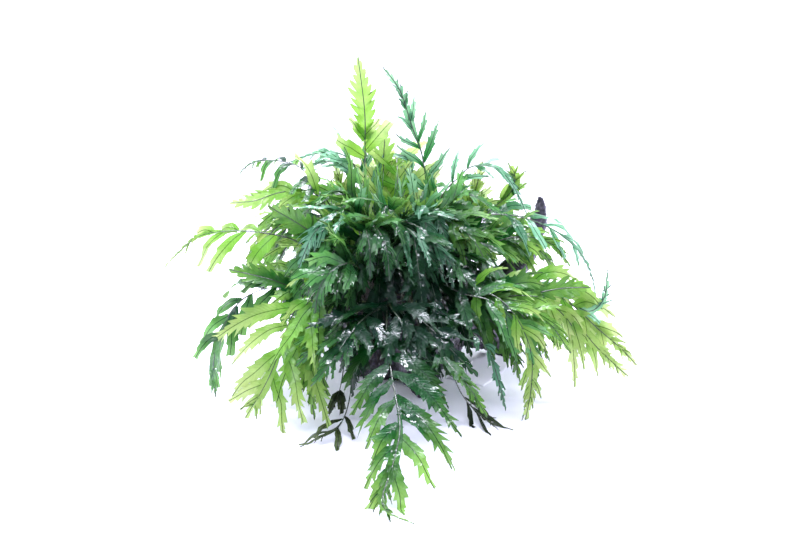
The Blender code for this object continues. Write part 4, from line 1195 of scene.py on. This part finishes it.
for amount, names in INNER.items():
    for name in names:
        leaf, path = hosts[name]
        for number in range(amount):
            key = f"{name} inner {number}"
            turn = math.radians(INNER_TURNS[number] + vary(key + " turn", 7))
            size = INNER_SIZES[number] + vary(key + " size", 0.08)
            height = 1 + vary(key + " rise", 0.12)
            foot = path.at(0)
            route = [foot]
            for share in (0.2, 0.42, 0.62, 0.82, 1):
                way = (path.at(path.length * share) - foot) * size
                x = way.x * math.cos(turn) - way.y * math.sin(turn)
                y = way.x * math.sin(turn) + way.y * math.cos(turn)
                route.append(foot + Vector((x, y, way.z * height)))
            bare = max(0.26, leaf.bare - 0.08)
            young = leaf._replace(name=key, route=route, pinna=1.3 * leaf.pinna, bare=bare)
            young_path = Path(route)
            chosen = {
                side: [(vary(f"{key} {side} {k} swing", 10), 8 + vary(f"{key} {side} {k} lift", 24), 0.95)
                       for k in range(leaf.pairs)]
                for side in (1, -1)
            }
            growth = grow_frond(young, young_path, lay_out(young, young_path.length), chosen)
            inner_growths.setdefault(TONE_SLOTS[leaf.tone], []).append(growth)
for slot, growths in inner_growths.items():
    name = "inner_fronds_" + slot.removeprefix("leaf_")
    place_piece(name, leaf_mesh(name, growths), [leaf_skins[slot], stalk_skin])

# Plant label.
# A small white coated card that lies under the right side of the bush, bare, with its far end curled up.
LABEL_SIZE = (58, 36)
LABEL_THICKNESS = 0.48
LABEL_PLACE = (72, -12, 0.5)
LABEL_HEADING = 57
LABEL_CURL = 7
LABEL_FLAT = 0.35
LABEL_WAVE = 12
length, width = LABEL_SIZE
columns, lines = 24, 12
points = []
turn = math.radians(LABEL_HEADING)
for k in range(columns + 1):
    share = k / columns
    lift = LABEL_CURL * (max(0, share - LABEL_FLAT) / (1 - LABEL_FLAT)) ** 2
    for j in range(lines + 1):
        x = length * (share - 0.5)
        y = width * (j / lines - 0.5)
        points.append((
            LABEL_PLACE[0] + x * math.cos(turn) - y * math.sin(turn),
            LABEL_PLACE[1] + x * math.sin(turn) + y * math.cos(turn),
            LABEL_PLACE[2] + lift,
        ))
rows = lines + 1
faces = [
    (k * rows + j, (k + 1) * rows + j, (k + 1) * rows + j + 1, k * rows + j + 1)
    for k in range(columns) for j in range(lines)
]
card = bpy.data.meshes.new("plant_label")
card.from_pydata(points, [], faces)

# Coated card: white and smooth, with the faint waviness of paper that has been damp.
coated_card, tree = new_material("coated_card")
place = add(tree, "TexCoord").outputs["Object"]
waves = add(tree, "TexNoise", {"Vector": place, "Scale": 1 / (LABEL_WAVE * MM), "Detail": 3})
tone = add(tree, "Mix", {0: waves, 6: linear("#f0eef8"), 7: linear("#f8f8fc")}, data_type="RGBA")
relief = add(tree, "Bump", {"Height": waves, "Strength": 0.2, "Distance": 0.001})
card_shader = add(tree, "BsdfPrincipled", {"Base Color": tone, "Roughness": 0.35, "Normal": relief})
add(tree, "OutputMaterial", {"Surface": card_shader})
label = place_piece("plant_label", card, [coated_card], ["plant_label"])
thick = label.modifiers.new("card thickness", "SOLIDIFY")
thick.thickness = LABEL_THICKNESS * MM
thick.offset = 0

# Studio.
# A round tent of white cloth, open at the top to a bluish daylight: its floor sweeps up into a wall all
# round. Three light strips hang over the plant, a wash whitens the cloth behind it, and a large soft light
# stands on either side. The studio's sizes and places are in metres.
TENT_RADIUS = 1.9
TENT_SWEEP = 0.5
TENT_HEIGHT = 2.2
CLOTH_CLOUD = 0.15
profile = [(0.3, 0), (TENT_RADIUS - TENT_SWEEP, 0)]
for angle in range(10, 91, 10):
    turn = math.radians(angle)
    profile.append((TENT_RADIUS - TENT_SWEEP * (1 - math.sin(turn)), TENT_SWEEP * (1 - math.cos(turn))))
profile.append((TENT_RADIUS, TENT_HEIGHT))
sides = 64
points = [(0, 0, 0)]
for radius, height in profile:
    for k in range(sides):
        turn = 2 * math.pi * k / sides
        points.append((radius * math.cos(turn), radius * math.sin(turn), height))
faces = [(0, k + 1, (k + 1) % sides + 1) for k in range(sides)]
for ring in range(len(profile) - 1):
    first = ring * sides + 1
    for k in range(sides):
        after = (k + 1) % sides
        faces.append((first + k, first + sides + k, first + sides + after, first + after))
tent_mesh = bpy.data.meshes.new("studio_tent")
tent_mesh.from_pydata(points, [], faces)
tent_mesh.shade_smooth()
studio_tent = bpy.data.objects.new("studio_tent", tent_mesh)
bpy.context.scene.collection.objects.link(studio_tent)

# White polyester cloth: matt and woven too finely to show, with faint clouds of painted shade where it
# isn't quite taut.
white_cloth, tree = new_material("white_cloth")
place = add(tree, "TexCoord").outputs["Object"]
slack_shade = add(tree, "TexNoise", {"Vector": place, "Scale": 1 / CLOTH_CLOUD, "Detail": 2})
tone = add(tree, "Mix", {0: slack_shade, 6: linear("#f2f3f9"), 7: linear("#f8f8fc")}, data_type="RGBA")
cloth_shader = add(tree, "BsdfPrincipled", {"Base Color": tone, "Roughness": 0.8})
add(tree, "OutputMaterial", {"Surface": cloth_shader})
tent_mesh.materials.append(white_cloth)

world = bpy.data.worlds.new("daylight")
bpy.context.scene.world = world
world.use_nodes = True
tree = world.node_tree
tree.nodes.clear()
sky = add(tree, "Background", {"Color": linear("#b4c2fa"), "Strength": 0.66})
add(tree, "OutputWorld", {"Surface": sky})


def soft_light(name, place, aim, size, power, colour):
    """A soft light of two sizes that looks at a point."""
    lamp = bpy.data.lights.new(name, "AREA")
    lamp.shape = "RECTANGLE"
    lamp.size, lamp.size_y = size
    lamp.energy = power
    lamp.color = linear(colour)[:3]
    item = bpy.data.objects.new(name, lamp)
    item.location = place
    item.rotation_euler = (Vector(aim) - Vector(place)).to_track_quat("-Z", "Y").to_euler()
    bpy.context.scene.collection.objects.link(item)


for depth, power in ((-0.35, 6), (0.05, 11), (0.45, 8.5)):
    soft_light("strip", (0, depth, 0.85), (0, 0, 0.1), (0.6, 0.1), power, "#f0eeff")
soft_light("back_wash", (0, 0.3, 1.3), (0, 1.8, 0.6), (1.6, 0.4), 30, "#fffcf8")
soft_light("left_wall", (-1.3, -0.1, 0.6), (0, 0, 0.12), (0.9, 0.9), 14, "#f4f6ff")
soft_light("right_wall", (1.3, 0.2, 0.8), (0, 0, 0.12), (0.9, 0.9), 9, "#f4f6ff")

# Camera.
# It looks down on the bush from the photo's height and distance, in metres.
CAMERA_PLACE = (0, -0.93, 0.34)
CAMERA_TILT = 14.8
LENS = 49.5
SENSOR_WIDTH = 36
shot = bpy.data.cameras.new("camera")
shot.lens = LENS
shot.sensor_width = SENSOR_WIDTH
camera = bpy.data.objects.new("camera", shot)
camera.location = CAMERA_PLACE
camera.rotation_euler = (math.radians(90 - CAMERA_TILT), 0, 0)
bpy.context.scene.collection.objects.link(camera)
bpy.context.scene.camera = camera
bpy.context.scene.view_settings.view_transform = "Standard"
